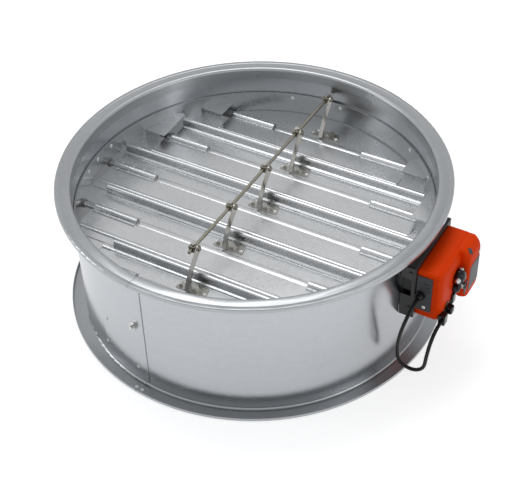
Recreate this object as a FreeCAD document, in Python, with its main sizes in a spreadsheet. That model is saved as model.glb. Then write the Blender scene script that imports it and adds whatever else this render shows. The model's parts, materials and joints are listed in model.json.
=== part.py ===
import FreeCAD, Part
import math
import os
import Sketcher

# Motorized round damper.
# Frame: the origin is on the casing axis at the underside of the bottom flange.
# +Z runs up the duct axis, +X along the blade shafts to the actuator, +Y along the linkage rod.
# All lengths are in millimetres.

doc = FreeCAD.newDocument("round_damper")
sheet = doc.addObject("Spreadsheet::Sheet", "sizes")

driving = [
    ("flange_width", 28.0),
    ("bore_inner", 315.0),
    ("sheet", 1.5),
    ("wall_inner", 316.5),
    ("casing_height", 258.0),
    ("leg_height", 22.0),
    ("lip_height", 7.0),
    ("bore_fillet", 6.0),
    ("joint_gap", 0.8),
    ("wall_inset", 8.0),
    ("frame_inner", 312.5),
    ("frame_sheet", 1.5),
    ("frame_low", 118.0),
    ("frame_high", 205.0),
    ("blade_pitch", 120.0),
    ("axis_height", 162.0),
    ("blade_sheet", 1.2),
    ("blade_circle", 309.5),
    ("near_reach", 71.0),
    ("half_end", 188.0),
    ("half_side", 264.0),
    ("half_side_far", 252.0),
    ("half_middle", 303.0),
    ("bead_place", 52.0),
    ("bead_rise", 3.0),
    ("bead_half", 5.0),
    ("ridge_place", 46.0),
    ("ridge_round", 5.5),
    ("ridge_top", 18.0),
    ("ridge_skirt", 4.0),
    ("ridge_stop", 22.0),
    ("shaft_round", 6.0),
    ("shaft_clear", 0.05),
    ("sleeve_wall", 1.5),
    ("sleeve_length", 90.0),
    ("sleeve_foot", 12.0),
    ("bush_outer", 8.0),
    ("rivet_shank", 1.2),
    ("rivet_head", 2.1),
    ("crank_side", 56.0),
    ("crank_up", 58.0),
    ("arm_low", -3.0),
    ("arm_width", 17.0),
    ("arm_sheet", 2.0),
    ("foot_sheet", 1.5),
    ("rod_round", 3.0),
    ("rod_place", -10.5),
    ("rod_past_far", 12.0),
    ("rod_past_near", 10.0),
    ("block_size", 13.0),
    ("spindle_round", 4.0),
    ("corner_sheet", 1.2),
    ("strap_sheet", 1.2),
    ("drive_back", 337.0),
    ("base_depth", 35.0),
    ("drive_near", -63.0),
    ("drive_far", 67.0),
    ("drive_low", 122.0),
    ("drive_high", 221.0),
    ("step_place", 14.0),
    ("raised_depth", 60.0),
    ("bracket_sheet", 2.0),
    ("clamp_round", 13.0),
    ("button_travel", 2.0),
    ("cable_round", 3.25),
]
for row, (alias, number) in enumerate(driving, start=2):
    sheet.set("A%d" % row, alias)
    sheet.set("B%d" % row, "%g" % number)
    sheet.setAlias("B%d" % row, alias)
doc.recompute()


class Size:
    # A length that knows its value and the sheet formula it comes from.
    def __init__(self, text, value):
        self.text = text
        self.value = value

    def __add__(self, other):
        other = size(other)
        return Size("(%s + %s)" % (self.text, other.text), self.value + other.value)

    def __sub__(self, other):
        other = size(other)
        return Size("(%s - %s)" % (self.text, other.text), self.value - other.value)

    def __mul__(self, other):
        other = size(other)
        return Size("(%s * %s)" % (self.text, other.text), self.value * other.value)

    def __radd__(self, other):
        return size(other) + self

    def __rsub__(self, other):
        return size(other) - self

    def __rmul__(self, other):
        return size(other) * self

    def __neg__(self):
        return Size("(-%s)" % self.text, -self.value)


def size(value):
    if isinstance(value, Size):
        return value
    return Size("(%.6f)" % value, float(value))


def cell(alias):
    return Size("sizes." + alias, float(sheet.get(alias)))


S = {alias: cell(alias) for alias, number in driving}
S["flange_outer"] = S["bore_inner"] + S["flange_width"]
S["wall_low"] = S["wall_inset"]
S["wall_high"] = S["casing_height"] - S["wall_inset"]
nodes = {}
counter = {"n": 0}


def fresh(stem):
    counter["n"] += 1
    return "%s_%d" % (stem, counter["n"])


def bind(obj, prop, value):
    value = size(value)
    obj.setExpression(prop, value.text)


def keep(obj, label):
    obj.Label = label
    nodes[label] = obj
    return obj


def box(x0, x1, y0, y1, z0, z1):
    # A block between two corners, bound to the sheet.
    obj = doc.addObject("Part::Box", fresh("block"))
    bind(obj, "Length", size(x1) - x0)
    bind(obj, "Width", size(y1) - y0)
    bind(obj, "Height", size(z1) - z0)
    bind(obj, ".Placement.Base.x", x0)
    bind(obj, ".Placement.Base.y", y0)
    bind(obj, ".Placement.Base.z", z0)
    return obj


def rod(radius, length, x, y, z, axis):
    # A round bar from its start point along a world axis.
    obj = doc.addObject("Part::Cylinder", fresh("round"))
    bind(obj, "Radius", radius)
    bind(obj, "Height", length)
    obj.Placement.Rotation = FreeCAD.Rotation(FreeCAD.Vector(0, 0, 1), axis)
    bind(obj, ".Placement.Base.x", x)
    bind(obj, ".Placement.Base.y", y)
    bind(obj, ".Placement.Base.z", z)
    return obj


ALONG_X = FreeCAD.Vector(1, 0, 0)
ALONG_Y = FreeCAD.Vector(0, 1, 0)
ALONG_Z = FreeCAD.Vector(0, 0, 1)


def cut(base, tool):
    obj = doc.addObject("Part::Cut", fresh("cut"))
    obj.Base = base
    obj.Tool = tool
    return obj


def cut_all(base, tools):
    return cut(base, compound(tools)) if len(tools) > 1 else cut(base, tools[0])


def fuse(parts):
    obj = doc.addObject("Part::MultiFuse", fresh("fuse"))
    obj.Shapes = parts
    obj.Refine = True
    return obj


def common(base, tool):
    obj = doc.addObject("Part::Common", fresh("common"))
    obj.Base = base
    obj.Tool = tool
    return obj


def compound(parts):
    obj = doc.addObject("Part::Compound", fresh("group"))
    obj.Links = parts
    return obj


def feature(shape, stem="formed"):
    obj = doc.addObject("Part::Feature", fresh(stem))
    obj.Shape = shape
    return obj


def outline(sketch, points, arcs):
    # Closed outline: points are (Size, Size); arcs maps an edge number to (radius, side),
    # with side +1 for a centre on the left of the edge and -1 for one on its right.
    count = len(points)
    xy = [(size(a).value, size(b).value) for a, b in points]
    starts = []
    ends = []
    for i in range(count):
        ax, ay = xy[i]
        bx, by = xy[(i + 1) % count]
        if i in arcs:
            radius = size(arcs[i][0]).value
            side = arcs[i][1]
            half = math.hypot(bx - ax, by - ay) / 2
            reach = math.sqrt(max(radius * radius - half * half, 0.0))
            ux = (bx - ax) / (2 * half)
            uy = (by - ay) / (2 * half)
            cx = (ax + bx) / 2 - uy * reach * side
            cy = (ay + by) / 2 + ux * reach * side
            circle = Part.Circle(FreeCAD.Vector(cx, cy, 0), FreeCAD.Vector(0, 0, 1), radius)
            first = math.atan2(ay - cy, ax - cx)
            last = math.atan2(by - cy, bx - cx)
            if side > 0:
                if last < first:
                    last += 2 * math.pi
                index = sketch.addGeometry(Part.ArcOfCircle(circle, first, last), False)
                starts.append((index, 1))
                ends.append((index, 2))
            else:
                if first < last:
                    first += 2 * math.pi
                index = sketch.addGeometry(Part.ArcOfCircle(circle, last, first), False)
                starts.append((index, 2))
                ends.append((index, 1))
        else:
            line = Part.LineSegment(FreeCAD.Vector(ax, ay, 0), FreeCAD.Vector(bx, by, 0))
            index = sketch.addGeometry(line, False)
            starts.append((index, 1))
            ends.append((index, 2))
    for i in range(count):
        a = ends[i]
        b = starts[(i + 1) % count]
        sketch.addConstraint(Sketcher.Constraint("Coincident", a[0], a[1], b[0], b[1]))
    for i in range(count):
        g, p = starts[i]
        for kind, value in (("DistanceX", size(points[i][0])), ("DistanceY", size(points[i][1]))):
            c = sketch.addConstraint(Sketcher.Constraint(kind, -1, 1, g, p, value.value))
            sketch.setExpression("Constraints[%d]" % c, value.text)
    for i in arcs:
        radius = size(arcs[i][0])
        c = sketch.addConstraint(Sketcher.Constraint("Radius", starts[i][0], radius.value))
        sketch.setExpression("Constraints[%d]" % c, radius.text)


def make_body(name):
    return doc.addObject("PartDesign::Body", name)


def plane_of(body, role):
    for item in body.Origin.OriginFeatures:
        if item.Role == role:
            return item
    return None


def sketch_on(body, role, points, arcs=None, offset=None):
    sketch = body.newObject("Sketcher::SketchObject", fresh("profile"))
    sketch.AttachmentSupport = [(plane_of(body, role), "")]
    sketch.MapMode = "FlatFace"
    if offset is not None:
        bind(sketch, ".AttachmentOffset.Base.z", offset)
    outline(sketch, points, arcs or {})
    return sketch


def revolved(label, points, arcs=None):
    # Turned ring: the points are (radius, height).
    body = make_body(label)
    sketch = sketch_on(body, "XZ_Plane", points, arcs)
    turn = body.newObject("PartDesign::Revolution", fresh("turn"))
    turn.Profile = sketch
    turn.ReferenceAxis = (sketch, ["V_Axis"])
    turn.Angle = 360
    body.Tip = turn
    return body


def padded(label, role, points, length, arcs=None, offset=None, reverse=False, both=False):
    body = make_body(label)
    sketch = sketch_on(body, role, points, arcs, offset)
    pad = body.newObject("PartDesign::Pad", fresh("pad"))
    pad.Profile = sketch
    bind(pad, "Length", length)
    pad.Reversed = reverse
    if both:
        pad.Midplane = True
    body.Tip = pad
    return body


# Casing: a rolled wall between two rolled flange rings.
wall_outer = S["wall_inner"] + S["sheet"]
shell = revolved("casing_wall_turn", [
    (S["wall_inner"], S["wall_low"]),
    (wall_outer, S["wall_low"]),
    (wall_outer, S["wall_high"]),
    (S["wall_inner"], S["wall_high"]),
])


def flange_points(up):
    # Section of a flange ring: a leg inside the wall, a rounded bore edge, a flat face
    # and a turned-back lip.
    face = S["casing_height"] if up else size(0)
    sign = -1 if up else 1
    inner = S["bore_inner"]
    t = S["sheet"]
    rim = S["flange_outer"]
    return [
        (inner, face + sign * S["leg_height"]),
        (inner, face + sign * S["bore_fillet"]),
        (inner + S["bore_fillet"], face),
        (rim - 9.0, face),
        (rim - 8.0, face + sign * 0.5),
        (rim - 7.0, face),
        (rim - 2.0, face),
        (rim, face + sign * 2.0),
        (rim, face + sign * S["lip_height"]),
        (rim - t, face + sign * S["lip_height"]),
        (rim - t, face + sign * (2.0)),
        (rim - 2.0, face + sign * t),
        (inner + S["bore_fillet"], face + sign * t),
        (inner + t, face + sign * S["bore_fillet"]),
        (inner + t, face + sign * S["leg_height"]),
    ]


def flange(label, up, azimuth):
    # The ring is rolled from strip, so its ends meet at a butt joint.
    turn = 1 if up else -1
    arcs = {
        1: (S["bore_fillet"], -1 * turn),
        6: (2.0, -1 * turn),
        12: (S["bore_fillet"] - S["sheet"], 1 * turn),
    }
    ring = revolved(label + "_turn", flange_points(up), arcs)
    slot = doc.addObject("Part::Box", fresh("slot"))
    bind(slot, "Length", 60.0)
    bind(slot, "Width", S["joint_gap"])
    bind(slot, "Height", 60.0)
    angle = math.radians(azimuth)
    base = 300.0
    height = S["casing_height"].value - 43.0 if up else -20.0
    slot.Placement = FreeCAD.Placement(
        FreeCAD.Vector(base * math.cos(angle), base * math.sin(angle), height),
        FreeCAD.Rotation(FreeCAD.Vector(0, 0, 1), azimuth))
    return cut(ring, slot)


flange_top = flange("flange_ring_top", True, -95.4)
flange_low = flange("flange_ring_bottom", False, -97.6)

frame_outer = S["frame_inner"] + S["frame_sheet"]
frame_ring = revolved("blade_frame_turn", [
    (S["frame_inner"], S["frame_low"]),
    (frame_outer, S["frame_low"]),
    (frame_outer, S["frame_high"]),
    (S["frame_inner"], S["frame_high"]),
])

# Blade lines: blade 1 is the farthest along +Y, blade 5 the nearest, blade 3 is driven.
blade_names = [1, 2, 3, 4, 5]
line_y = {n: (3 - n) * S["blade_pitch"] for n in blade_names}
half_length = {
    1: S["half_end"], 2: S["half_side"], 3: S["half_middle"], 4: S["half_side"], 5: S["half_end"],
}

# Bushings stand in the blade frame along each shaft line. Only the driven shaft passes the wall.
bush_parts = []
bush_tools = []
line_tools = []
shaft_reach = {}
inside_wall = rod(S["wall_inner"] - 0.3, 400.0, 0.0, 0.0, -50.0, ALONG_Z)
bush_r = S["bush_outer"].value
for n in blade_names:
    gap = abs(line_y[n].value)
    tip = math.sqrt(wall_outer.value ** 2 - max(gap - bush_r, 0.0) ** 2) + 1.5
    root = math.sqrt(S["frame_inner"].value ** 2 - (gap + bush_r) ** 2) - 1.5
    line_tools.append(rod(S["bush_outer"], 800.0, -400.0, line_y[n], S["axis_height"], ALONG_X))
    shaft_reach[n] = math.sqrt((S["wall_inner"].value - 0.6) ** 2 - (gap + S["shaft_round"].value) ** 2)
    for side in (1, -1):
        start = root if side > 0 else -tip
        body = rod(S["bush_outer"], tip - root, start, line_y[n], S["axis_height"], ALONG_X)
        hole = rod(S["shaft_round"] + S["shaft_clear"], tip - root + 10.0, start - 5.0,
                   line_y[n], S["axis_height"], ALONG_X)
        bush = cut(body, hole)
        if n != 3 or side < 0:
            bush = common(bush, inside_wall)
        bush_parts.append(bush)
        tool = rod(S["bush_outer"], tip - root + 40.0, start - 20.0, line_y[n], S["axis_height"], ALONG_X)
        bush_tools.append(tool)
        if n == 3 and side > 0:
            driven_hole = tool
keep(compound(bush_parts), "shaft_bushings")


def radial_pin(azimuth, height, r0, r1, radius, head_r=0.0, head_in=0.0, head_out=0.0):
    # A rivet that stands along a radius of the casing, with optional heads.
    angle = math.radians(azimuth)
    along = FreeCAD.Vector(math.cos(angle), math.sin(angle), 0)
    start = along * r0 + FreeCAD.Vector(0, 0, height)
    shape = Part.makeCylinder(radius, r1 - r0, start, along)
    if head_in:
        ease = head_r * head_r / (2.0 * r0) + 0.03
        inner = along * (r0 - head_in - ease) + FreeCAD.Vector(0, 0, height)
        neck = along * (r0 - ease) + FreeCAD.Vector(0, 0, height)
        shape = shape.fuse(Part.makeCylinder(radius, ease, neck, along))
        shape = shape.fuse(Part.makeCylinder(head_r, head_in, inner, along))
    if head_out:
        outer = along * r1 + FreeCAD.Vector(0, 0, height)
        shape = shape.fuse(Part.makeCylinder(head_r, head_out, outer, along))
    return shape.removeSplitter()


def upright_pin(x, y, z0, z1, radius, head_r, head_low, head_high):
    # A rivet along Z with a head at each end.
    shape = Part.makeCylinder(radius, z1 - z0, FreeCAD.Vector(x, y, z0))
    if head_high:
        shape = shape.fuse(Part.makeCylinder(head_r, head_high, FreeCAD.Vector(x, y, z1)))
    if head_low:
        shape = shape.fuse(Part.makeCylinder(head_r, head_low, FreeCAD.Vector(x, y, z0 - head_low)))
    return shape.removeSplitter()


# Rivets: the frame ring to the wall, the strap over the wall seam, two in the lower flange face.
wall_in = S["wall_inner"].value
wall_out = wall_outer.value
frame_in = S["frame_inner"].value
strap_out = wall_out + S["strap_sheet"].value
bore_in = S["bore_inner"].value
pins = []
holes = []
for azimuth in (178.5, -173.1, -166.1, 38.3, 54.0, 9.0, 88.0, 106.0):
    pins.append(radial_pin(azimuth, 196.0, frame_in, wall_out, 2.5, 4.0, 1.0, 1.2))
    holes.append(radial_pin(azimuth, 196.0, frame_in - 5, wall_out + 5, 2.5))
top = S["casing_height"].value
for azimuth, height in ((-99.4, 36.0), (-114.2, 40.0), (-99.4, top - 33.0), (-112.5, top - 33.0), (-112.5, 100.0)):
    pins.append(radial_pin(azimuth, height, wall_in, strap_out, 2.0, 3.2, 0.8, 1.2))
    holes.append(radial_pin(azimuth, height, wall_in - 5, strap_out + 5, 2.0))
for x, y in ((-49.5, -330.0), (-37.5, -331.5)):
    pins.append(upright_pin(x, y, 0.0, S["sheet"].value, 2.2, 3.4, 0.0, 1.2))
    holes.append(upright_pin(x, y, -5.0, 6.0, 2.2, 3.0, 0.0, 0.0))
keep(feature(Part.makeCompound(pins), "rivets"), "casing_rivets")
rivet_tool = feature(Part.makeCompound(holes), "rivet_holes")
bolt_az = -99.1
bolt_z = 136.0
bolt_tool = feature(radial_pin(bolt_az, bolt_z, wall_in - 5, strap_out + 5, 4.0), "bolt_hole")

keep(cut_all(shell, [driven_hole, rivet_tool, bolt_tool]), "casing_shell")
keep(flange_top, "flange_ring_top")
keep(cut_all(flange_low, [rivet_tool]), "flange_ring_bottom")
keep(cut_all(frame_ring, bush_tools + [rivet_tool]), "blade_frame_ring")

# Seam strap: a curved plate over the joint of the wall sheet, from azimuth -115 to -95.5 degrees.
strap_turn = revolved("strap_turn", [
    (wall_outer, S["wall_low"] + 1.0),
    (wall_outer + S["strap_sheet"], S["wall_low"] + 1.0),
    (wall_outer + S["strap_sheet"], S["wall_high"] - 1.0),
    (wall_outer, S["wall_high"] - 1.0),
])
wedge = []
for azimuth in (-115.0, -95.5):
    angle = math.radians(azimuth)
    wedge.append(FreeCAD.Vector(400 * math.cos(angle), 400 * math.sin(angle), 0))
sector = Part.Face(Part.makePolygon([FreeCAD.Vector(0, 0, 0), wedge[0], wedge[1], FreeCAD.Vector(0, 0, 0)]))
sector_tool = feature(sector.extrude(FreeCAD.Vector(0, 0, 300)), "sector")
keep(cut_all(common(strap_turn, sector_tool), [rivet_tool, bolt_tool]), "seam_strap")

# Bolt with its nut through the strap and the wall.
angle = math.radians(bolt_az)
along = FreeCAD.Vector(math.cos(angle), math.sin(angle), 0)
turn_to = FreeCAD.Rotation(FreeCAD.Vector(0, 0, 1), along)


def hexagon(across, thickness, start, rotation):
    # Six-sided head or nut, across flats, standing on a start point.
    radius = across / math.sqrt(3.0)
    corners = []
    for k in range(7):
        a = math.radians(60 * k)
        corners.append(FreeCAD.Vector(radius * math.cos(a), radius * math.sin(a), 0))
    solid = Part.Face(Part.makePolygon(corners)).extrude(FreeCAD.Vector(0, 0, thickness))
    solid.Placement = FreeCAD.Placement(start, rotation)
    return solid


seat = along * strap_out + FreeCAD.Vector(0, 0, bolt_z)
back = along * (wall_in - 2.2) + FreeCAD.Vector(0, 0, bolt_z)
bolt = Part.makeCylinder(4.0, strap_out - wall_in + 2.2 + 8.0, back, along)
bolt = bolt.fuse(hexagon(13.0, 5.0, seat, turn_to))
bolt = bolt.fuse(Part.makeCylinder(8.0, 1.2, seat, along))
bolt = bolt.fuse(hexagon(13.0, 2.0, back, turn_to))
keep(feature(bolt.removeSplitter(), "bolt"), "casing_bolt")

# Corner pieces close the space between a blade's straight end and the round frame.
# The bent ones have an upper plate, an upright face and a lower shelf.
# The flat ones have a shelf and a turned-down edge.
frame_disc = rod(S["frame_inner"], 200.0, 0.0, 0.0, 80.0, ALONG_Z)
t = S["corner_sheet"]
axis_z = S["axis_height"]


def mirrored_range(side, near, far):
    if side > 0:
        return near, far
    return -size(far), -size(near)


for n, name in ((1, "corner_1"), (2, "corner_2"), (4, "corner_4"), (5, "corner_5")):
    inner = half_length[n] + 2.0
    y = line_y[n]
    for side, tag in ((1, "right"), (-1, "left")):
        x0, x1 = mirrored_range(side, inner, inner + 90.0)
        if n == 1:
            upper_y0 = y - 36.0
            upper_y1 = y + 20.0
            shelf_y0 = y - 67.0
            upper_z = axis_z + 22.0
            u0, u1 = mirrored_range(side, inner, inner + 90.0)
        if n == 2:
            upper_y0 = y - 22.0
            upper_y1 = y + 55.0
            shelf_y0 = y - 64.0
            upper_z = axis_z + 18.0
            u0, u1 = mirrored_range(side, S["half_side_far"] + 3.0, inner + 90.0)
        if n in (1, 2):
            plate = box(u0, u1, upper_y0, upper_y1, upper_z - t, upper_z)
            face = box(x0, x1, upper_y0, upper_y0 + t, axis_z - 1.0, upper_z)
            shelf = box(x0, x1, shelf_y0, upper_y0 + t, axis_z - 1.0 - t, axis_z - 1.0)
            whole = fuse([plate, face, shelf])
        else:
            shelf_y0 = y - 6.0
            shelf_y1 = y + S["blade_pitch"] - S["near_reach"] - 1.5
            shelf = box(x0, x1, shelf_y0, shelf_y1, axis_z - 1.0 - t, axis_z - 1.0)
            e0, e1 = mirrored_range(side, inner, inner + t)
            edge = box(e0, e1, shelf_y0, shelf_y1, axis_z - 9.0, axis_z - 1.0)
            whole = fuse([shelf, edge])
        inside = common(whole, frame_disc)
        keep(cut_all(inside, line_tools), name + "_" + tag)

# Blades: a formed sheet with a stiffening bead on its near side and a hollow ridge on its far edge.
# The ridge lies over the near edge of the next blade.
plan_disc = rod(S["blade_circle"], 160.0, 0.0, 0.0, 90.0, ALONG_Z)


def blade_section(n):
    y = line_y[n]
    z = axis_z
    t = S["blade_sheet"]
    bead = S["bead_place"]
    half = S["bead_half"]
    rise = S["bead_rise"]
    near = S["near_reach"]
    bead_r = (half.value ** 2 + rise.value ** 2) / (2 * rise.value)
    low_half = half.value + 0.4
    low_r = (low_half ** 2 + rise.value ** 2) / (2 * rise.value)
    top_side = [
        (y - near, z),
        (y - bead - half, z),
        (y - bead, z + rise),
        (y - bead + half, z),
    ]
    low_side = [
        (y - bead + low_half, z - t),
        (y - bead, z + rise - t),
        (y - bead - low_half, z - t),
        (y - near, z - t),
    ]
    if n == 1:
        points = top_side + [(y + 76.0, z), (y + 76.0, z - t)] + low_side
        arcs = {1: (bead_r, -1), 2: (bead_r, -1), 6: (low_r, 1), 7: (low_r, 1)}
        return points, arcs
    place = S["ridge_place"]
    r = S["ridge_round"]
    crown = z + S["ridge_top"]
    bend = crown - r
    skirt = z + S["ridge_skirt"]
    ridge_out = [
        (y + place - r - 5.5, z),
        (y + place - r - 4.5, z + 2.0),
        (y + place - r - 1.0, z + 4.0),
        (y + place - r, z + 6.0),
        (y + place - r, bend),
        (y + place, crown),
        (y + place + r, bend),
        (y + place + r, skirt),
    ]
    ridge_in = [
        (y + place + r - t, skirt),
        (y + place + r - t, bend),
        (y + place, crown - t),
        (y + place - r + t, bend),
        (y + place - r + t, z + 5.6),
        (y + place - r - 0.3, z + 2.9),
        (y + place - r - 3.6, z + 0.9),
        (y + place - r - 4.7, z - t),
    ]
    points = top_side + ridge_out + ridge_in + low_side
    arcs = {
        1: (bead_r, -1), 2: (bead_r, -1),
        8: (r, -1), 9: (r, -1),
        13: (r - t, 1), 14: (r - t, 1),
        20: (low_r, 1), 21: (low_r, 1),
    }
    return points, arcs


def crank_solid(n):
    # The arm is bent from sheet as a channel: two cheeks joined by a web along the back edge.
    y = line_y[n].value
    z = axis_z.value
    side = S["crank_side"].value
    up = S["crank_up"].value
    x = S["arm_low"].value
    width = S["arm_width"].value
    sheet_t = S["arm_sheet"].value
    foot_t = S["foot_sheet"].value

    def at(a, b):
        return FreeCAD.Vector(x, y + a, z + b)

    back_top = at(side - 8.5, up + 4.0)
    front_top = at(side + 8.5, up - 4.0)
    back = Part.Arc(at(10.0, 0.5), at(0.36 * side, 0.55 * up), back_top)
    eye = Part.Arc(back_top, at(side + 3.6, up + 8.2), front_top)
    front = Part.Arc(front_top, at(0.76 * side, 0.44 * up), at(26.0, 0.5))
    foot_line = Part.LineSegment(at(26.0, 0.5), at(10.0, 0.5))
    cheek = Part.Face(Part.Wire([back.toShape(), eye.toShape(), front.toShape(), foot_line.toShape()]))
    arm = cheek.extrude(FreeCAD.Vector(width, 0, 0))

    def inner(a, b):
        return FreeCAD.Vector(x + sheet_t, y + a, z + b)

    web_foot = inner(10.0 + sheet_t, foot_t)
    web_top = inner(side - 8.5 + sheet_t, up + 4.0)
    web = Part.Arc(web_foot, inner(0.36 * side + sheet_t, 0.55 * up), web_top)
    corner_a = inner(side - 8.5 + sheet_t, up + 30.0)
    corner_b = inner(side + 40.0, up + 30.0)
    corner_c = inner(side + 40.0, foot_t)
    pocket = Part.Face(Part.Wire([
        web.toShape(),
        Part.LineSegment(web_top, corner_a).toShape(),
        Part.LineSegment(corner_a, corner_b).toShape(),
        Part.LineSegment(corner_b, corner_c).toShape(),
        Part.LineSegment(corner_c, web_foot).toShape(),
    ])).extrude(FreeCAD.Vector(width - 2 * sheet_t, 0, 0))
    arm = arm.cut(pocket)
    low = [(-24.0, 12.0), (36.0, 12.0), (31.0, 33.5), (-17.0, 33.5)]
    corners = [FreeCAD.Vector(a, y + b, z) for a, b in low + low[:1]]
    foot = Part.Face(Part.makePolygon(corners)).extrude(FreeCAD.Vector(0, 0, foot_t))
    disc = Part.makeCylinder(6.0, 1.2 + foot_t, FreeCAD.Vector(23.0, y + 25.0, z))
    eye_hole = Part.makeCylinder(S["spindle_round"].value + S["shaft_clear"].value, 40.0,
                                 FreeCAD.Vector(-20, y + side, z + up), FreeCAD.Vector(1, 0, 0))
    arm = arm.fuse([foot, disc]).cut(eye_hole)
    return arm.removeSplitter()


foot_rivets = ((-18.5, 20.0), (30.0, 18.0), (-12.5, 29.0))
for n in blade_names:
    y = line_y[n]
    points, arcs = blade_section(n)
    length = half_length[n]
    bare = padded("blade_%d_form" % n, "YZ_Plane", points, length * 2.0, arcs, both=True)
    trimmed = common(bare, plan_disc)
    if n == 2:
        notches = []
        for side in (1, -1):
            a, b = mirrored_range(side, S["half_side_far"], length + 20.0)
            notches.append(box(a, b, y + 14.0, y + 90.0, axis_z - 20.0, axis_z + 40.0))
        trimmed = cut_all(trimmed, notches)
    if n == 5:
        # The nearest ridge stops short at both ends, because it swings towards the round frame.
        notches = []
        for side in (1, -1):
            a, b = mirrored_range(side, length - S["ridge_stop"], length + 20.0)
            notches.append(box(a, b, y + 30.0, y + 90.0, axis_z + 3.5, axis_z + 40.0))
        trimmed = cut_all(trimmed, notches)
    # Shaft troughs under the sheet at both ends.
    seats = [trimmed]
    bores = []
    sleeves = []
    shafts = []
    rivet_shapes = []
    rivet_holes = []
    sleeve_end = length - 3.0
    if n in (1, 5):
        sleeve_end = length - 4.0
    sleeve_start = sleeve_end - S["sleeve_length"]
    bore_r = S["shaft_round"] + S["shaft_clear"]
    for side in (1, -1):
        a, b = mirrored_range(side, sleeve_start, sleeve_end)
        trough = rod(bore_r + S["blade_sheet"], b - a, a, y, axis_z, ALONG_X)
        under = box(a, b, y - 20.0, y + 20.0, axis_z - 20.0, axis_z)
        seats.append(common(trough, under))
        hole_a, hole_b = mirrored_range(side, sleeve_start, length + 30.0)
        bores.append(rod(bore_r, hole_b - hole_a, hole_a, y, axis_z, ALONG_X))
        cap = rod(bore_r + S["sleeve_wall"], b - a, a, y, axis_z, ALONG_X)
        feet = box(a, b, y - S["sleeve_foot"], y + S["sleeve_foot"], axis_z, axis_z + S["sleeve_wall"])
        over = box(a, b, y - 30.0, y + 30.0, axis_z, axis_z + 30.0)
        sleeve_bore = rod(bore_r, b - a + 4.0, a - 2.0, y, axis_z, ALONG_X)
        sleeves.append(cut(common(fuse([cap, feet]), over), sleeve_bore))
        reach = shaft_reach[n]
        if n == 3 and side > 0:
            reach = S["drive_back"].value + S["raised_depth"].value + 1.0
        s0, s1 = mirrored_range(side, sleeve_start + 0.5, reach)
        shafts.append(rod(S["shaft_round"], s1 - s0, s0, y, axis_z, ALONG_X))
        for k in range(4):
            px = side * (sleeve_start.value + 10.0 + k * (S["sleeve_length"].value - 20.0) / 3.0)
            for dy in (-9.7, 9.7):
                z0 = axis_z.value - S["blade_sheet"].value
                z1 = axis_z.value + S["sleeve_wall"].value
                rivet_shapes.append(upright_pin(px, y.value + dy, z0, z1, S["rivet_shank"].value,
                                                S["rivet_head"].value, 0.8, 0.9))
                rivet_holes.append(upright_pin(px, y.value + dy, z0 - 5, z1 + 5,
                                               S["rivet_shank"].value, 1.0, 0, 0))
    for px, dy in foot_rivets:
        z0 = axis_z.value - S["blade_sheet"].value
        z1 = axis_z.value + S["foot_sheet"].value
        rivet_shapes.append(upright_pin(px, y.value + dy, z0, z1, 2.0, 3.4, 0.8, 1.4))
        rivet_holes.append(upright_pin(px, y.value + dy, z0 - 5, z1 + 5, 2.0, 1.0, 0, 0))
    hole_tool = feature(Part.makeCompound(rivet_holes), "blade_rivet_holes")
    panel = cut_all(fuse(seats), bores + [hole_tool])
    keep(panel, "blade_%d_panel" % n)
    keep(cut_all(compound(sleeves), [hole_tool]), "blade_%d_sleeves" % n)
    keep(compound(shafts), "blade_%d_shafts" % n)
    keep(feature(Part.makeCompound(rivet_shapes), "blade_rivets"), "blade_%d_rivets" % n)
    arm = crank_solid(n)
    foot_holes = Part.makeCompound(rivet_holes)
    keep(feature(arm.cut(foot_holes), "crank"), "blade_%d_crank" % n)

# Linkage: one straight rod through five swivel blocks, one block on each crank.
pin_z = axis_z + S["crank_up"]
rod_start = line_y[5] + S["crank_side"] - S["rod_past_near"]
rod_end = line_y[1] + S["crank_side"] + S["rod_past_far"]
keep(rod(S["rod_round"], rod_end - rod_start, S["rod_place"], rod_start, pin_z, ALONG_Y), "linkage_rod")
blocks = []
screws = []
half = S["block_size"] * 0.5
for n in blade_names:
    py = line_y[n] + S["crank_side"]
    px = S["rod_place"]
    cube = box(px - half, px + half, py - half, py + half, pin_z - half, pin_z + half)
    spindle_start = px + half - 1.0
    spindle_length = S["arm_low"] + S["arm_width"] + 2.0 - spindle_start
    spindle = rod(S["spindle_round"], spindle_length, spindle_start, py, pin_z, ALONG_X)
    washer = rod(6.5, 1.6, S["arm_low"] + S["arm_width"] + 0.4, py, pin_z, ALONG_X)
    solid = fuse([cube, spindle, washer])
    rod_hole = rod(S["rod_round"] + S["shaft_clear"], S["block_size"] + 4.0,
                   px, py - half - 2.0, pin_z, ALONG_Y)
    screw_hole = rod(2.5, 20.0, px, py, pin_z + 1.0, ALONG_Z)
    blocks.append(cut_all(solid, [rod_hole, screw_hole]))
    head = Part.makeCylinder(2.5, half.value - S["rod_round"].value + 0.5,
                             FreeCAD.Vector(px.value, py.value, pin_z.value + S["rod_round"].value))
    head = head.fuse(hexagon(8.0, 4.0, FreeCAD.Vector(px.value, py.value, pin_z.value + half.value),
                             FreeCAD.Rotation()))
    screws.append(head.removeSplitter())
keep(compound(blocks), "swivel_blocks")
keep(feature(Part.makeCompound(screws), "block_screw"), "block_screws")

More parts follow.
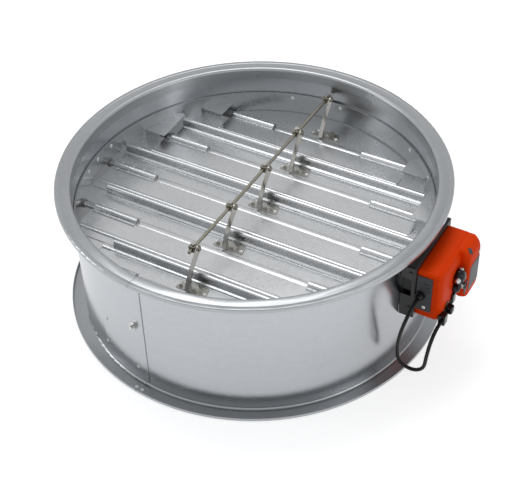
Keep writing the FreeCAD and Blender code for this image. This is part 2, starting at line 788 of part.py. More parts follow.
# Actuator bracket: a plate with two wings that reach back to the curved wall.
db = S["drive_back"]
bracket_y0 = S["drive_near"] - 30.0
bracket_y1 = S["drive_far"] + 8.0
bracket_z0 = S["drive_low"] - 6.0
bracket_z1 = S["drive_high"] + 17.0
bt = S["bracket_sheet"]
plate = box(db - bt, db, bracket_y0, bracket_y1, bracket_z0, bracket_z1)
wing_near = box(280.0, db, bracket_y0, bracket_y0 + bt, bracket_z0, bracket_z1)
wing_far = box(280.0, db, bracket_y1 - bt, bracket_y1, bracket_z0, bracket_z1)
bracket = fuse([plate, wing_near, wing_far])
wall_disc = rod(wall_outer, 400.0, 0.0, 0.0, -50.0, ALONG_Z)
shaft_hole = rod(S["shaft_round"] + 3.0, 140.0, 300.0, 0.0, axis_z, ALONG_X)
small_slot = box(db - 20.0, db + 20.0, bracket_y0 + 10.0, bracket_y0 + 18.0,
                 bracket_z1 - 14.0, bracket_z1 - 10.0)
keep(cut_all(bracket, [wall_disc, shaft_hole, small_slot]), "actuator_bracket")

# Actuator housing: a deep base and a front cover with a raised part beside the shaft clamp.
dn = S["drive_near"]
df = S["drive_far"]
dl = S["drive_low"]
dh = S["drive_high"]
base_front = db + S["base_depth"]
base_profile = [
    (dn, dl + 5.0), (dn + 5.0, dl), (df - 5.0, dl), (df, dl + 5.0),
    (df, dh - 5.0), (df - 5.0, dh), (dn + 5.0, dh), (dn, dh - 5.0),
]
base_body = padded("actuator_base_pad", "YZ_Plane", base_profile, S["base_depth"],
                   {0: (5.0, 1), 2: (5.0, 1), 4: (5.0, 1), 6: (5.0, 1)}, offset=db)
keep(cut(base_body, shaft_hole), "actuator_base")

shallow_profile = [
    (base_front, dl + 2.0), (base_front + 3.0, dl + 2.0), (base_front + 9.0, dl + 34.0),
    (base_front + 9.0, dh - 46.0), (base_front + 3.0, dh - 3.0), (base_front, dh - 2.0),
]
step = S["step_place"]
shallow = padded("cover_low_pad", "XZ_Plane", shallow_profile, step + 2.0 - (dn + 2.0), offset=-(step + 2.0))
raised_front = db + S["raised_depth"]
raised_profile = [
    (base_front, dl + 2.0), (raised_front - 6.0, dl + 2.0), (raised_front, dl + 8.0),
    (raised_front, dh - 16.0), (raised_front - 12.0, dh), (base_front, dh),
]
raised = padded("cover_high_pad", "XZ_Plane", raised_profile, df - 2.0 - step,
                {1: (6.0, 1)}, offset=-(df - 2.0))
button_y = 27.0
chamfer_mid = FreeCAD.Vector(raised_front.value - 6.0, button_y, dh.value - 8.0)
chamfer_out = FreeCAD.Vector(0.8, 0.0, 0.6)


def diamond(reach, depth_in, depth_out):
    # Rounded diamond that stands out of the sloped corner of the raised part.
    down = FreeCAD.Vector(0.6, 0.0, -0.8)
    across = FreeCAD.Vector(0, 1, 0)
    start = chamfer_mid - chamfer_out * depth_in
    corners = []
    for a, b in ((0, 1), (1, 0), (0, -1), (-1, 0), (0, 1)):
        corners.append(start + across * (a * reach * 0.8) + down * (b * reach))
    solid = Part.Face(Part.makePolygon(corners)).extrude(chamfer_out * (depth_in + depth_out))
    upright = []
    for edge in solid.Edges:
        way = edge.tangentAt(edge.FirstParameter)
        if abs(abs(way.dot(chamfer_out)) - 1.0) < 1e-6:
            upright.append(edge)
    return solid.makeFillet(1.2, upright)


travel = S["button_travel"].value
button_well = feature(diamond(8.2, travel + 3.0, 6.0), "button_well")
cover = fuse([shallow, raised])
keep(cut_all(cover, [shaft_hole, button_well]), "actuator_cover")
keep(feature(diamond(7.9, 2.5, 1.5), "button"), "push_button")
keep(box(raised_front, raised_front + 0.6, 21.0, 61.0, dl + 10.0, dl + 62.0), "label_plate")

# End plate with three vent slots, cable gland and cable connector.
plate_y = dn - 2.0
end_plate = box(db + 1.0, db + 28.0, plate_y, dn, dl + 17.0, dh - 9.0)
slots = []
for k in range(3):
    slots.append(box(db + 14.0, db + 24.0, plate_y - 1.0, plate_y + 1.2,
                     dh - 24.0 - 7.0 * k, dh - 21.0 - 7.0 * k))
keep(cut_all(end_plate, slots), "end_plate")
gland_x = db.value + 9.0
gland_z = dl.value + 50.0
out_of_plate = FreeCAD.Rotation(FreeCAD.Vector(0, 0, 1), FreeCAD.Vector(0, -1, 0))
gland_nut = hexagon(15.0, 5.0, FreeCAD.Vector(gland_x, plate_y.value, gland_z), out_of_plate)
gland_dome = Part.makeCone(6.4, 4.6, 7.0, FreeCAD.Vector(gland_x, plate_y.value - 5.0, gland_z),
                           FreeCAD.Vector(0, -1, 0))
gland = gland_nut.fuse(gland_dome).removeSplitter()
keep(feature(gland, "gland"), "cable_gland")
gland_end = plate_y.value - 12.0

plug_x = base_front.value + 13.0
plug_z = dl.value + 5.0
plug_y = dn.value - 3.0

# Shaft clamp: a hub on the driven shaft with a yoke and two clamp nuts.
# The pointer on its front turns clear of the raised part of the cover.
clamp_x0 = base_front + 10.0
clamp_x1 = raised_front + 0.6
clamp_r = S["clamp_round"]
hub = rod(clamp_r, clamp_x1 - clamp_x0, clamp_x0, 0.0, axis_z, ALONG_X)
yoke = box(clamp_x0, clamp_x0 + 9.0, -11.5, 11.5, axis_z, axis_z + 30.0)
shaft_bore = rod(S["shaft_round"] + S["shaft_clear"], 100.0, 340.0, 0.0, axis_z, ALONG_X)
keep(cut(fuse([hub, yoke]), shaft_bore), "shaft_clamp")
nuts = []
for dy in (-6.5, 6.5):
    seat = FreeCAD.Vector(clamp_x0.value + 4.5, dy, axis_z.value + 30.0)
    nut = hexagon(8.0, 4.5, seat, FreeCAD.Rotation())
    nut = nut.fuse(Part.makeCylinder(2.5, 7.0, seat))
    nuts.append(nut.removeSplitter())
keep(feature(Part.makeCompound(nuts), "nuts"), "clamp_nuts")
pointer_points = [
    (-5.0, axis_z.value - 9.0), (0.0, axis_z.value - 19.5), (5.0, axis_z.value - 9.0),
    (7.5, axis_z.value + 7.0), (-7.5, axis_z.value + 7.0),
]
corners = [FreeCAD.Vector(clamp_x1.value, a, b) for a, b in pointer_points + pointer_points[:1]]
pointer = Part.Face(Part.makePolygon(corners)).extrude(FreeCAD.Vector(1.8, 0, 0))
pointer = pointer.cut(Part.makeCylinder(S["shaft_round"].value + S["shaft_clear"].value, 60.0,
                                        FreeCAD.Vector(350, 0, axis_z.value), FreeCAD.Vector(1, 0, 0)))
keep(feature(pointer, "pointer_plate"), "position_pointer")

# End stops, tie strap and connector stand on the sloping front of the cover's low part.


def on_cover(x0, x1, y0, y1, z0, z1):
    # A block whose back follows the front of the low cover.
    return cut(box(x0, x1, y0, y1, z0, z1), shallow)


keep(on_cover(base_front + 1.0, base_front + 14.0, -17.0, -2.0, dl + 3.0, dl + 25.0), "end_stop_upper")
keep(on_cover(base_front + 1.0, base_front + 22.0, -41.0, -27.0, dl + 3.0, dl + 18.0), "end_stop_lower")
keep(on_cover(base_front + 1.0, base_front + 11.0, -40.0, -29.0, dl + 18.0, dl + 24.0), "tie_strap")
connector_block = box(base_front + 1.0, base_front + 20.0, plug_y, plug_y + 18.0, dl - 4.0, dl + 19.0)
keep(cut_all(connector_block, [shallow, base_body]), "cable_connector")

# Screws: two in the cover front, one in the end plate, two in the bracket.
screw_shapes = []
for sy, sz in ((df.value - 10.0, dl.value + 72.0), (df.value - 10.0, dh.value - 24.0)):
    start = FreeCAD.Vector(raised_front.value, sy, sz)
    screw_shapes.append(Part.makeCylinder(3.2, 1.6, start, FreeCAD.Vector(1, 0, 0)))
plate_screw = FreeCAD.Vector(db.value + 16.0, plate_y.value, dl.value + 26.0)
screw_shapes.append(Part.makeCylinder(3.2, 1.8, plate_screw, FreeCAD.Vector(0, -1, 0)))
for sz in (dl.value + 8.0, dh.value + 9.0):
    start = FreeCAD.Vector(db.value, bracket_y0.value + 14.0, sz - 14.0)
    screw_shapes.append(hexagon(8.0, 4.0, start, FreeCAD.Rotation(ALONG_Z, ALONG_X)))
keep(feature(Part.makeCompound(screw_shapes), "screws"), "actuator_screws")

# Cable: one hanging loop from the gland to the connector, straight runs joined by tangent arcs.
route = [
    (gland_x, gland_end, gland_z),
    (346.0, -92.0, 172.0), (344.0, -106.0, 163.0), (341.0, -112.0, 148.0), (335.0, -111.0, 122.0),
    (330.0, -107.0, 94.0), (328.0, -102.0, 70.0), (328.0, -100.0, 51.0), (334.5, -100.0, 39.7),
    (345.9, -100.0, 33.1), (359.0, -100.0, 33.1), (370.3, -100.0, 39.7), (376.9, -100.0, 51.0),
    (379.0, -101.0, 75.0), (382.0, -100.0, 101.0), (384.0, -94.0, 118.0), (plug_x, -81.0, plug_z),
    (plug_x, plug_y, plug_z),
]


def tube_path(points):
    # Runs and tangent arcs: each radius is 0.45 of the shorter run over the tangent of half the turn.
    vectors = [FreeCAD.Vector(*p) for p in points]
    edges = []
    radii = []
    total = 0.0
    here = vectors[0]
    for i in range(1, len(vectors) - 1):
        before = vectors[i] - vectors[i - 1]
        after = vectors[i + 1] - vectors[i]
        shorter = min(before.Length, after.Length)
        a = before.normalize()
        b = after.normalize()
        turn = math.acos(max(-1.0, min(1.0, a.dot(b))))
        radius = 0.45 * shorter / math.tan(turn / 2)
        set_back = 0.45 * shorter
        start = vectors[i] - a * set_back
        end = vectors[i] + b * set_back
        inward = (b - a).normalize()
        middle = vectors[i] + inward * (radius / math.cos(turn / 2) - radius)
        edges.append(Part.LineSegment(here, start).toShape())
        edges.append(Part.Arc(start, middle, end).toShape())
        total += (start - here).Length + radius * turn
        radii.append(radius)
        here = end
    edges.append(Part.LineSegment(here, vectors[-1]).toShape())
    total += (vectors[-1] - here).Length
    return Part.Wire(edges), radii, total


path, radii, total = tube_path(route)
tube_r = S["cable_round"].value
first_way = (FreeCAD.Vector(*route[1]) - FreeCAD.Vector(*route[0])).normalize()
ring = Part.Wire([Part.Circle(FreeCAD.Vector(*route[0]), first_way, tube_r).toShape()])
tube = path.makePipeShell([ring], True, False)
print("cable radii", [round(r, 1) for r in radii])
section = math.pi * tube_r ** 2
print("cable length", round(total, 1), "volume ratio", round(tube.Volume / (section * total), 4))
keep(feature(tube, "cable_tube"), "cable")

doc.recompute()

bad = []
for obj in doc.Objects:
    if "Invalid" in obj.State or "Error" in obj.State:
        bad.append((obj.Name, obj.Label, list(obj.State)))
for label, obj in nodes.items():
    shape = obj.Shape
    if shape.isNull() or not shape.isValid() or not shape.Solids:
        bad.append((label, "shape", shape.isNull()))
if bad:
    raise RuntimeError("failed objects: %s" % bad)

os.makedirs("parts", exist_ok=True)
for label, obj in nodes.items():
    obj.Shape.exportStep("parts/%s.step" % label)
    print(label, len(obj.Shape.Solids), round(obj.Shape.Volume / 1000.0, 2))
print("nodes", len(nodes))
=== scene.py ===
import json
import math
import bpy
import bmesh
from mathutils import Matrix, Vector

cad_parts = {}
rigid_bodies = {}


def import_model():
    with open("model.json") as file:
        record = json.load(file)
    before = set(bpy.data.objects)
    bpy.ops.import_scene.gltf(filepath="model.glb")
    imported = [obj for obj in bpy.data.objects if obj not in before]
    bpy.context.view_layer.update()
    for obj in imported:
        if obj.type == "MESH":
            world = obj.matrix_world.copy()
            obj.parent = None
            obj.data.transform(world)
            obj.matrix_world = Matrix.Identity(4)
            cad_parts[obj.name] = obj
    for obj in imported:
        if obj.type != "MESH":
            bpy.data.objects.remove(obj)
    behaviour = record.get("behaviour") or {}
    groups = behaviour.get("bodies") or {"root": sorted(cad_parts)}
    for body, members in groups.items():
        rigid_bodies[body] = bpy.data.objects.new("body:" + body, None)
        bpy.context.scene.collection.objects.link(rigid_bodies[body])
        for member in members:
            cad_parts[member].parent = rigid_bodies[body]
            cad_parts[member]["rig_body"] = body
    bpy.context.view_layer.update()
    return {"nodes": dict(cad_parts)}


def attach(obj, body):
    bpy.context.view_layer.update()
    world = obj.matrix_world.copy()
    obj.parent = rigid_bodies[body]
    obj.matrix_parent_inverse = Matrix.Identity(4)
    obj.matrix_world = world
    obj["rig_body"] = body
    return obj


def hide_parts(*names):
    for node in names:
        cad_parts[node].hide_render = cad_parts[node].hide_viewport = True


# Motorized round damper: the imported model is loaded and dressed, in metres.
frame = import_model()
scene = bpy.context.scene
scene.view_settings.view_transform = "Standard"
print("stage: frame loaded,", len(frame["nodes"]), "nodes")

cameraSetup = {
    "place": (0.833, -1.389, 1.524),
    "pitchDown": 41.62,
    "yaw": -3.363,
    "roll": -1.759,
    "turn": 27.2,
    "lens": 81.69,
    "sensor": 36.0,
}


def placeCamera(setup):
    pitch = math.radians(setup["pitchDown"])
    yaw = math.radians(setup["yaw"])
    roll = math.radians(setup["roll"])
    ahead = Vector((math.sin(yaw) * math.cos(pitch), math.cos(yaw) * math.cos(pitch), -math.sin(pitch)))
    level = Vector((math.cos(yaw), -math.sin(yaw), 0))
    upright = level.cross(ahead)
    right = level * math.cos(roll) + upright * math.sin(roll)
    up = upright * math.cos(roll) - level * math.sin(roll)
    spin = Matrix.Rotation(math.radians(setup["turn"]), 3, "Z")
    axes = Matrix((spin @ right, spin @ up, spin @ (-ahead))).transposed()
    data = bpy.data.cameras.new("viewCamera")
    data.lens = setup["lens"]
    data.sensor_width = setup["sensor"]
    data.clip_end = 30
    camera = bpy.data.objects.new("viewCamera", data)
    camera.matrix_world = Matrix.Translation(Vector(setup["place"])) @ axes.to_4x4()
    scene.collection.objects.link(camera)
    scene.camera = camera


placeCamera(cameraSetup)

# Light: a bright soft room, one broad lamp overhead and two weaker ones at the sides.
roomSetup = {
    "ambient": 0.50,
    "ambientTint": (0.96, 0.98, 1.0),
    "mirrorHorizon": 0.95,
    "mirrorZenith": 0.55,
    "floorColor": 0.72,
    "floorRadius": 9.0,
    "floorDrop": 0.0004,
    "floorLift": 0.60,
    # Inside the casing the floor glow drops to a smaller value, which paints light into the gaps seen between
    # the blades.
    "dimInside": (0.300, 0.345),
    "insidePaintedLight": 0.34,
    "lamps": {
        "overhead": {"place": (-0.6, 0.5, 2.6), "aim": (0, 0, 0.15), "size": (1.9, 1.1), "power": 20.0},
        "leftSide": {"place": (-2.4, -1.2, 1.3), "aim": (0, 0, 0.12), "size": (0.7, 1.0), "power": 8.0},
        "rightSide": {"place": (2.6, -0.4, 1.4), "aim": (0, 0, 0.12), "size": (0.7, 1.0), "power": 7.0},
    },
}


def addNode(tree, kind, place=(0, 0), **values):
    node = tree.nodes.new(kind)
    node.location = place
    for key, value in values.items():
        if hasattr(node, key):
            setattr(node, key, value)
        else:
            node.inputs[key].default_value = value
    return node


def cameraMask(tree):
    # 1 for rays that should see the backdrop itself: camera, glossy and transmission rays.
    path = addNode(tree, "ShaderNodeLightPath", (-700, 200))
    first = addNode(tree, "ShaderNodeMath", (-500, 240), operation="MAXIMUM")
    second = addNode(tree, "ShaderNodeMath", (-320, 200), operation="MAXIMUM")
    tree.links.new(path.outputs["Is Camera Ray"], first.inputs[0])
    tree.links.new(path.outputs["Is Glossy Ray"], first.inputs[1])
    tree.links.new(first.outputs[0], second.inputs[0])
    tree.links.new(path.outputs["Is Transmission Ray"], second.inputs[1])
    return second.outputs[0]


def buildRoom(setup):
    world = bpy.data.worlds.new("paleRoom")
    world.use_nodes = True
    tree = world.node_tree
    tree.nodes.clear()
    mask = cameraMask(tree)
    # What metal mirrors: pale at the horizon and greyer overhead, so that folds show.
    place = addNode(tree, "ShaderNodeTexCoord", (-1100, -200))
    split = addNode(tree, "ShaderNodeSeparateXYZ", (-900, -200))
    tree.links.new(place.outputs["Generated"], split.inputs[0])
    slope = addNode(tree, "ShaderNodeMapRange", (-700, -200))
    slope.inputs["To Min"].default_value = setup["mirrorHorizon"]
    slope.inputs["To Max"].default_value = setup["mirrorZenith"]
    tree.links.new(split.outputs[2], slope.inputs["Value"])
    direct = addNode(tree, "ShaderNodeLightPath", (-700, -420))
    level = addNode(tree, "ShaderNodeMix", (-400, -260), data_type="FLOAT")
    tree.links.new(direct.outputs["Is Glossy Ray"], level.inputs[0])
    level.inputs[2].default_value = 1.0
    tree.links.new(slope.outputs[0], level.inputs[3])
    seen = addNode(tree, "ShaderNodeBackground", (-100, 160))
    seen.inputs["Color"].default_value = (1, 1, 1, 1)
    tree.links.new(level.outputs[0], seen.inputs["Strength"])
    lit = addNode(tree, "ShaderNodeBackground", (-100, 0))
    lit.inputs["Color"].default_value = (*setup["ambientTint"], 1)
    lit.inputs["Strength"].default_value = setup["ambient"]
    mix = addNode(tree, "ShaderNodeMixShader", (120, 100))
    out = addNode(tree, "ShaderNodeOutputWorld", (320, 100))
    tree.links.new(mask, mix.inputs[0])
    tree.links.new(lit.outputs[0], mix.inputs[1])
    tree.links.new(seen.outputs[0], mix.inputs[2])
    tree.links.new(mix.outputs[0], out.inputs[0])
    scene.world = world

    for name, lamp in setup["lamps"].items():
        data = bpy.data.lights.new(name, "AREA")
        data.shape = "RECTANGLE"
        data.size, data.size_y = lamp["size"]
        data.energy = lamp["power"]
        holder = bpy.data.objects.new(name, data)
        place = Vector(lamp["place"])
        aim = Vector(lamp["aim"]) - place
        holder.rotation_euler = aim.to_track_quat("-Z", "Y").to_euler()
        holder.location = place
        scene.collection.objects.link(holder)

    mesh = bpy.data.meshes.new("floor")
    bm = bmesh.new()
    under = Matrix.Translation((0, 0, -setup["floorDrop"]))
    bmesh.ops.create_circle(bm, cap_ends=True, segments=96, radius=setup["floorRadius"], matrix=under)
    bm.to_mesh(mesh)
    bm.free()
    floor = bpy.data.objects.new("floor", mesh)
    scene.collection.objects.link(floor)
    material = bpy.data.materials.new("paleFloor")
    material.use_nodes = True
    tree = material.node_tree
    tree.nodes.clear()
    mask = cameraMask(tree)
    shade = setup["floorColor"]
    diffuse = addNode(tree, "ShaderNodeBsdfDiffuse", (-300, 0))
    diffuse.inputs["Color"].default_value = (shade, shade, shade, 1)
    glow = addNode(tree, "ShaderNodeEmission", (-300, -140))
    # Inside the casing the floor glows less, so that its own shade shows; the glow left there paints light
    # into the gaps seen between the blades.
    spot = addNode(tree, "ShaderNodeTexCoord", (-1100, -140))
    reach = addNode(tree, "ShaderNodeVectorMath", (-900, -140), operation="LENGTH")
    tree.links.new(spot.outputs["Object"], reach.inputs[0])
    fade = addNode(tree, "ShaderNodeMapRange", (-700, -140))
    fade.inputs["From Min"].default_value = setup["dimInside"][0]
    fade.inputs["From Max"].default_value = setup["dimInside"][1]
    fade.inputs["To Min"].default_value = setup["insidePaintedLight"]
    fade.inputs["To Max"].default_value = setup["floorLift"]
    tree.links.new(reach.outputs["Value"], fade.inputs["Value"])
    tree.links.new(fade.outputs[0], glow.inputs["Strength"])
    both = addNode(tree, "ShaderNodeAddShader", (-100, -60))
    mix = addNode(tree, "ShaderNodeMixShader", (100, 60))
    out = addNode(tree, "ShaderNodeOutputMaterial", (300, 60))
    tree.links.new(diffuse.outputs[0], both.inputs[0])
    tree.links.new(glow.outputs[0], both.inputs[1])
    tree.links.new(mask, mix.inputs[0])
    tree.links.new(diffuse.outputs[0], mix.inputs[1])
    tree.links.new(both.outputs[0], mix.inputs[2])
    tree.links.new(mix.outputs[0], out.inputs[0])
    mesh.materials.append(material)


buildRoom(roomSetup)
print("stage: camera, lamps and floor ready")

# Cable: a short control cable that hangs in a loop from the gland to the plug connector.
cableSetup = {
    "diameter": 0.0065,
    "length": 0.3084,
    "route": [
        (0.3460, -0.0770, 0.1720), (0.3460, -0.0920, 0.1720), (0.3440, -0.1060, 0.1630),
        (0.3410, -0.1120, 0.1480), (0.3350, -0.1110, 0.1220), (0.3300, -0.1070, 0.0940),
        (0.3280, -0.1020, 0.0700), (0.3280, -0.1000, 0.0510), (0.3345, -0.1000, 0.0397),
        (0.3459, -0.1000, 0.0331), (0.3590, -0.1000, 0.0331), (0.3703, -0.1000, 0.0397),
        (0.3769, -0.1000, 0.0510), (0.3790, -0.1010, 0.0750), (0.3820, -0.1000, 0.1010),
        (0.3840, -0.0940, 0.1180), (0.3850, -0.0810, 0.1270), (0.3850, -0.0660, 0.1270),
    ],
}


def buildCable(setup):
    data = bpy.data.curves.new("cableLoop", "CURVE")
    data.dimensions = "3D"
    line = data.splines.new("NURBS")
    line.points.add(len(setup["route"]) - 1)
    for point, place in zip(line.points, setup["route"]):
        point.co = (*place, 1.0)
        point.radius = setup["diameter"] / 2
    line.order_u = 3
    line.use_endpoint_u = True
    data.resolution_u = 12
    data.bevel_depth = 1.0
    data.bevel_resolution = 6
    data.use_fill_caps = True
    cable = bpy.data.objects.new("controlCable", data)
    scene.collection.objects.link(cable)
    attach(cable, "casing")
    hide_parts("cable")
    return cable


cable = buildCable(cableSetup)
print("stage: cable laid")


# Shader groups: zinc sheet, moulded plastic and settled dust.
def newGroup(name, inputs, outputs):
    group = bpy.data.node_groups.new(name, "ShaderNodeTree")
    for label, kind, value in inputs:
        socket = group.interface.new_socket(name=label, in_out="INPUT", socket_type=kind)
        if value is not None:
            socket.default_value = value
    for label, kind in outputs:
        group.interface.new_socket(name=label, in_out="OUTPUT", socket_type=kind)
    start = addNode(group, "NodeGroupInput", (-1100, 0))
    end = addNode(group, "NodeGroupOutput", (700, 0))
    return group, start, end


def mathNode(tree, operation, a, b=None, place=(0, 0)):
    node = addNode(tree, "ShaderNodeMath", place, operation=operation)
    for index, value in enumerate((a, b)):
        if value is None:
            continue
        if isinstance(value, (int, float)):
            node.inputs[index].default_value = value
        else:
            tree.links.new(value, node.inputs[index])
    return node.outputs[0]


def buildZincSkin():
    # Rolled zinc: faint flakes, long rolling streaks and soft smears.
    group, start, end = newGroup("zincSkin", [
        ("Vector", "NodeSocketVector", None),
        ("Tint", "NodeSocketColor", (0.6, 0.62, 0.64, 1)),
        ("Flake Scale", "NodeSocketFloat", 70.0),
        ("Flake Contrast", "NodeSocketFloat", 0.12),
        ("Streak", "NodeSocketFloat", 0.06),
        ("Gloss", "NodeSocketFloat", 0.28),
        ("Gloss Spread", "NodeSocketFloat", 0.12),
        ("Waviness", "NodeSocketFloat", 0.2),
    ], [
        ("Color", "NodeSocketColor"),
        ("Roughness", "NodeSocketFloat"),
        ("Normal", "NodeSocketVector"),
    ])
    link = group.links.new
    flake = addNode(group, "ShaderNodeTexVoronoi", (-850, 250))
    link(start.outputs["Vector"], flake.inputs["Vector"])
    link(start.outputs["Flake Scale"], flake.inputs["Scale"])
    split = addNode(group, "ShaderNodeSeparateColor", (-660, 250))
    link(flake.outputs["Color"], split.inputs[0])
    flakeTone = mathNode(group, "SUBTRACT", split.outputs[0], 0.5, (-480, 280))
    stretch = addNode(group, "ShaderNodeMapping", (-850, -40))
    stretch.inputs["Scale"].default_value = (5.0, 5.0, 160.0)
    link(start.outputs["Vector"], stretch.inputs["Vector"])
    grain = addNode(group, "ShaderNodeTexNoise", (-660, -40))
    grain.inputs["Scale"].default_value = 1.0
    grain.inputs["Detail"].default_value = 3.0
    link(stretch.outputs[0], grain.inputs["Vector"])
    grainTone = mathNode(group, "SUBTRACT", grain.outputs["Fac"], 0.5, (-480, -40))
    smear = addNode(group, "ShaderNodeTexNoise", (-850, -320))
    smear.inputs["Scale"].default_value = 11.0
    smear.inputs["Detail"].default_value = 4.0
    link(start.outputs["Vector"], smear.inputs["Vector"])
    smearTone = mathNode(group, "SUBTRACT", smear.outputs["Fac"], 0.5, (-480, -320))
    flakePart = mathNode(group, "MULTIPLY", flakeTone, start.outputs["Flake Contrast"], (-300, 280))
    grainPart = mathNode(group, "MULTIPLY", grainTone, start.outputs["Streak"], (-300, 60))
    smearPart = mathNode(group, "MULTIPLY", smearTone, 0.07, (-300, -160))
    marks = mathNode(group, "ADD", flakePart, grainPart, (-120, 200))
    total = mathNode(group, "ADD", marks, smearPart, (20, 160))
    gain = mathNode(group, "ADD", total, 1.0, (160, 160))
    tinted = addNode(group, "ShaderNodeVectorMath", (320, 160), operation="SCALE")
    link(start.outputs["Tint"], tinted.inputs[0])
    link(gain, tinted.inputs["Scale"])
    link(tinted.outputs[0], end.inputs["Color"])
    roughFlake = mathNode(group, "MULTIPLY", flakeTone, start.outputs["Gloss Spread"], (-120, -60))
    roughSmear = mathNode(group, "MULTIPLY", smearTone, 0.10, (-120, -200))
    rough = mathNode(group, "ADD", mathNode(group, "ADD", roughFlake, roughSmear, (40, -80)),
                     start.outputs["Gloss"], (180, -60))
    link(rough, end.inputs["Roughness"])
    wave = addNode(group, "ShaderNodeTexNoise", (-120, -420))
    wave.inputs["Scale"].default_value = 9.0
    wave.inputs["Detail"].default_value = 1.0
    link(start.outputs["Vector"], wave.inputs["Vector"])
    height = mathNode(group, "ADD", mathNode(group, "MULTIPLY", grainPart, 0.02, (40, -300)),
                      mathNode(group, "MULTIPLY", wave.outputs["Fac"], 0.6, (40, -420)), (200, -340))
    bump = addNode(group, "ShaderNodeBump", (380, -300))
    bump.inputs["Distance"].default_value = 0.004
    link(start.outputs["Waviness"], bump.inputs["Strength"])
    link(height, bump.inputs["Height"])
    link(bump.outputs[0], end.inputs["Normal"])
    return group


def buildMouldedSkin():
    # Moulded plastic: fine spark-eroded grain with slight colour drift.
    group, start, end = newGroup("mouldedSkin", [
        ("Vector", "NodeSocketVector", None),
        ("Tint", "NodeSocketColor", (0.5, 0.5, 0.5, 1)),
        ("Drift", "NodeSocketFloat", 0.08),
        ("Gloss", "NodeSocketFloat", 0.4),
        ("Grain Scale", "NodeSocketFloat", 900.0),
        ("Grain Depth", "NodeSocketFloat", 0.15),
    ], [
        ("Color", "NodeSocketColor"),
        ("Roughness", "NodeSocketFloat"),
        ("Normal", "NodeSocketVector"),
    ])
    link = group.links.new
    cloud = addNode(group, "ShaderNodeTexNoise", (-850, 200))
    cloud.inputs["Scale"].default_value = 22.0
    cloud.inputs["Detail"].default_value = 3.0
    link(start.outputs["Vector"], cloud.inputs["Vector"])
    tone = mathNode(group, "SUBTRACT", cloud.outputs["Fac"], 0.5, (-660, 200))
    drift = mathNode(group, "MULTIPLY", tone, start.outputs["Drift"], (-480, 200))
    gain = mathNode(group, "ADD", drift, 1.0, (-300, 200))
    tinted = addNode(group, "ShaderNodeVectorMath", (-100, 200), operation="SCALE")
    link(start.outputs["Tint"], tinted.inputs[0])
    link(gain, tinted.inputs["Scale"])
    link(tinted.outputs[0], end.inputs["Color"])
    spread = mathNode(group, "MULTIPLY", tone, 0.18, (-300, 0))
    rough = mathNode(group, "ADD", spread, start.outputs["Gloss"], (-100, 0))
    link(rough, end.inputs["Roughness"])
    grain = addNode(group, "ShaderNodeTexNoise", (-850, -250))
    grain.inputs["Detail"].default_value = 2.0
    link(start.outputs["Vector"], grain.inputs["Vector"])
    link(start.outputs["Grain Scale"], grain.inputs["Scale"])
    bump = addNode(group, "ShaderNodeBump", (-300, -250))
    bump.inputs["Distance"].default_value = 0.0004
    link(start.outputs["Grain Depth"], bump.inputs["Strength"])
    link(grain.outputs["Fac"], bump.inputs["Height"])
    link(bump.outputs[0], end.inputs["Normal"])
    return group


def buildSettledDust():
    # A thin veil on faces that look up: it lightens the colour and dulls the gloss.
    group, start, end = newGroup("settledDust", [
        ("Vector", "NodeSocketVector", None),
        ("Color", "NodeSocketColor", (0.5, 0.5, 0.5, 1)),
        ("Roughness", "NodeSocketFloat", 0.4),
        ("Amount", "NodeSocketFloat", 0.08),
    ], [
        ("Color", "NodeSocketColor"),
        ("Roughness", "NodeSocketFloat"),
    ])
    link = group.links.new
    geometry = addNode(group, "ShaderNodeNewGeometry", (-850, 200))
    split = addNode(group, "ShaderNodeSeparateXYZ", (-660, 200))
    link(geometry.outputs["Normal"], split.inputs[0])
    upward = mathNode(group, "MAXIMUM", split.outputs[2], 0.0, (-480, 200))
    speck = addNode(group, "ShaderNodeTexNoise", (-850, -100))
    speck.inputs["Scale"].default_value = 60.0
    speck.inputs["Detail"].default_value = 5.0
    link(start.outputs["Vector"], speck.inputs["Vector"])
    veil = mathNode(group, "MULTIPLY", mathNode(group, "MULTIPLY", upward, speck.outputs["Fac"], (-300, 100)),
                    start.outputs["Amount"], (-120, 100))
    mix = addNode(group, "ShaderNodeMix", (80, 160), data_type="RGBA")
    link(veil, mix.inputs["Factor"])
    link(start.outputs["Color"], mix.inputs[6])
    mix.inputs[7].default_value = (0.62, 0.61, 0.59, 1)
    link(mix.outputs[2], end.inputs["Color"])
    link(mathNode(group, "ADD", start.outputs["Roughness"], veil, (80, -80)), end.inputs["Roughness"])
    return group


zincSkin = buildZincSkin()
mouldedSkin = buildMouldedSkin()
settledDust = buildSettledDust()


def finishMaterial(name, skin, values, shader, dust):
    material = bpy.data.materials.new(name)
    material.use_nodes = True
    tree = material.node_tree
    tree.nodes.clear()
    place = addNode(tree, "ShaderNodeTexCoord", (-900, 0))
    body = addNode(tree, "ShaderNodeGroup", (-650, 0))
    body.node_tree = skin
    tree.links.new(place.outputs["Object"], body.inputs["Vector"])
    for key, value in values.items():
        body.inputs[key].default_value = (*value, 1) if isinstance(value, tuple) else value
    veil = addNode(tree, "ShaderNodeGroup", (-400, 0))
    veil.node_tree = settledDust
    veil.inputs["Amount"].default_value = dust
    tree.links.new(place.outputs["Object"], veil.inputs["Vector"])
    tree.links.new(body.outputs["Color"], veil.inputs["Color"])
    tree.links.new(body.outputs["Roughness"], veil.inputs["Roughness"])
    surface = addNode(tree, "ShaderNodeBsdfPrincipled", (-120, 0))
    for key, value in shader.items():
        surface.inputs[key].default_value = value
    tree.links.new(veil.outputs["Color"], surface.inputs["Base Color"])
    tree.links.new(veil.outputs["Roughness"], surface.inputs["Roughness"])
    tree.links.new(body.outputs["Normal"], surface.inputs["Normal"])
    out = addNode(tree, "ShaderNodeOutputMaterial", (200, 0))
    tree.links.new(surface.outputs[0], out.inputs[0])
    return material


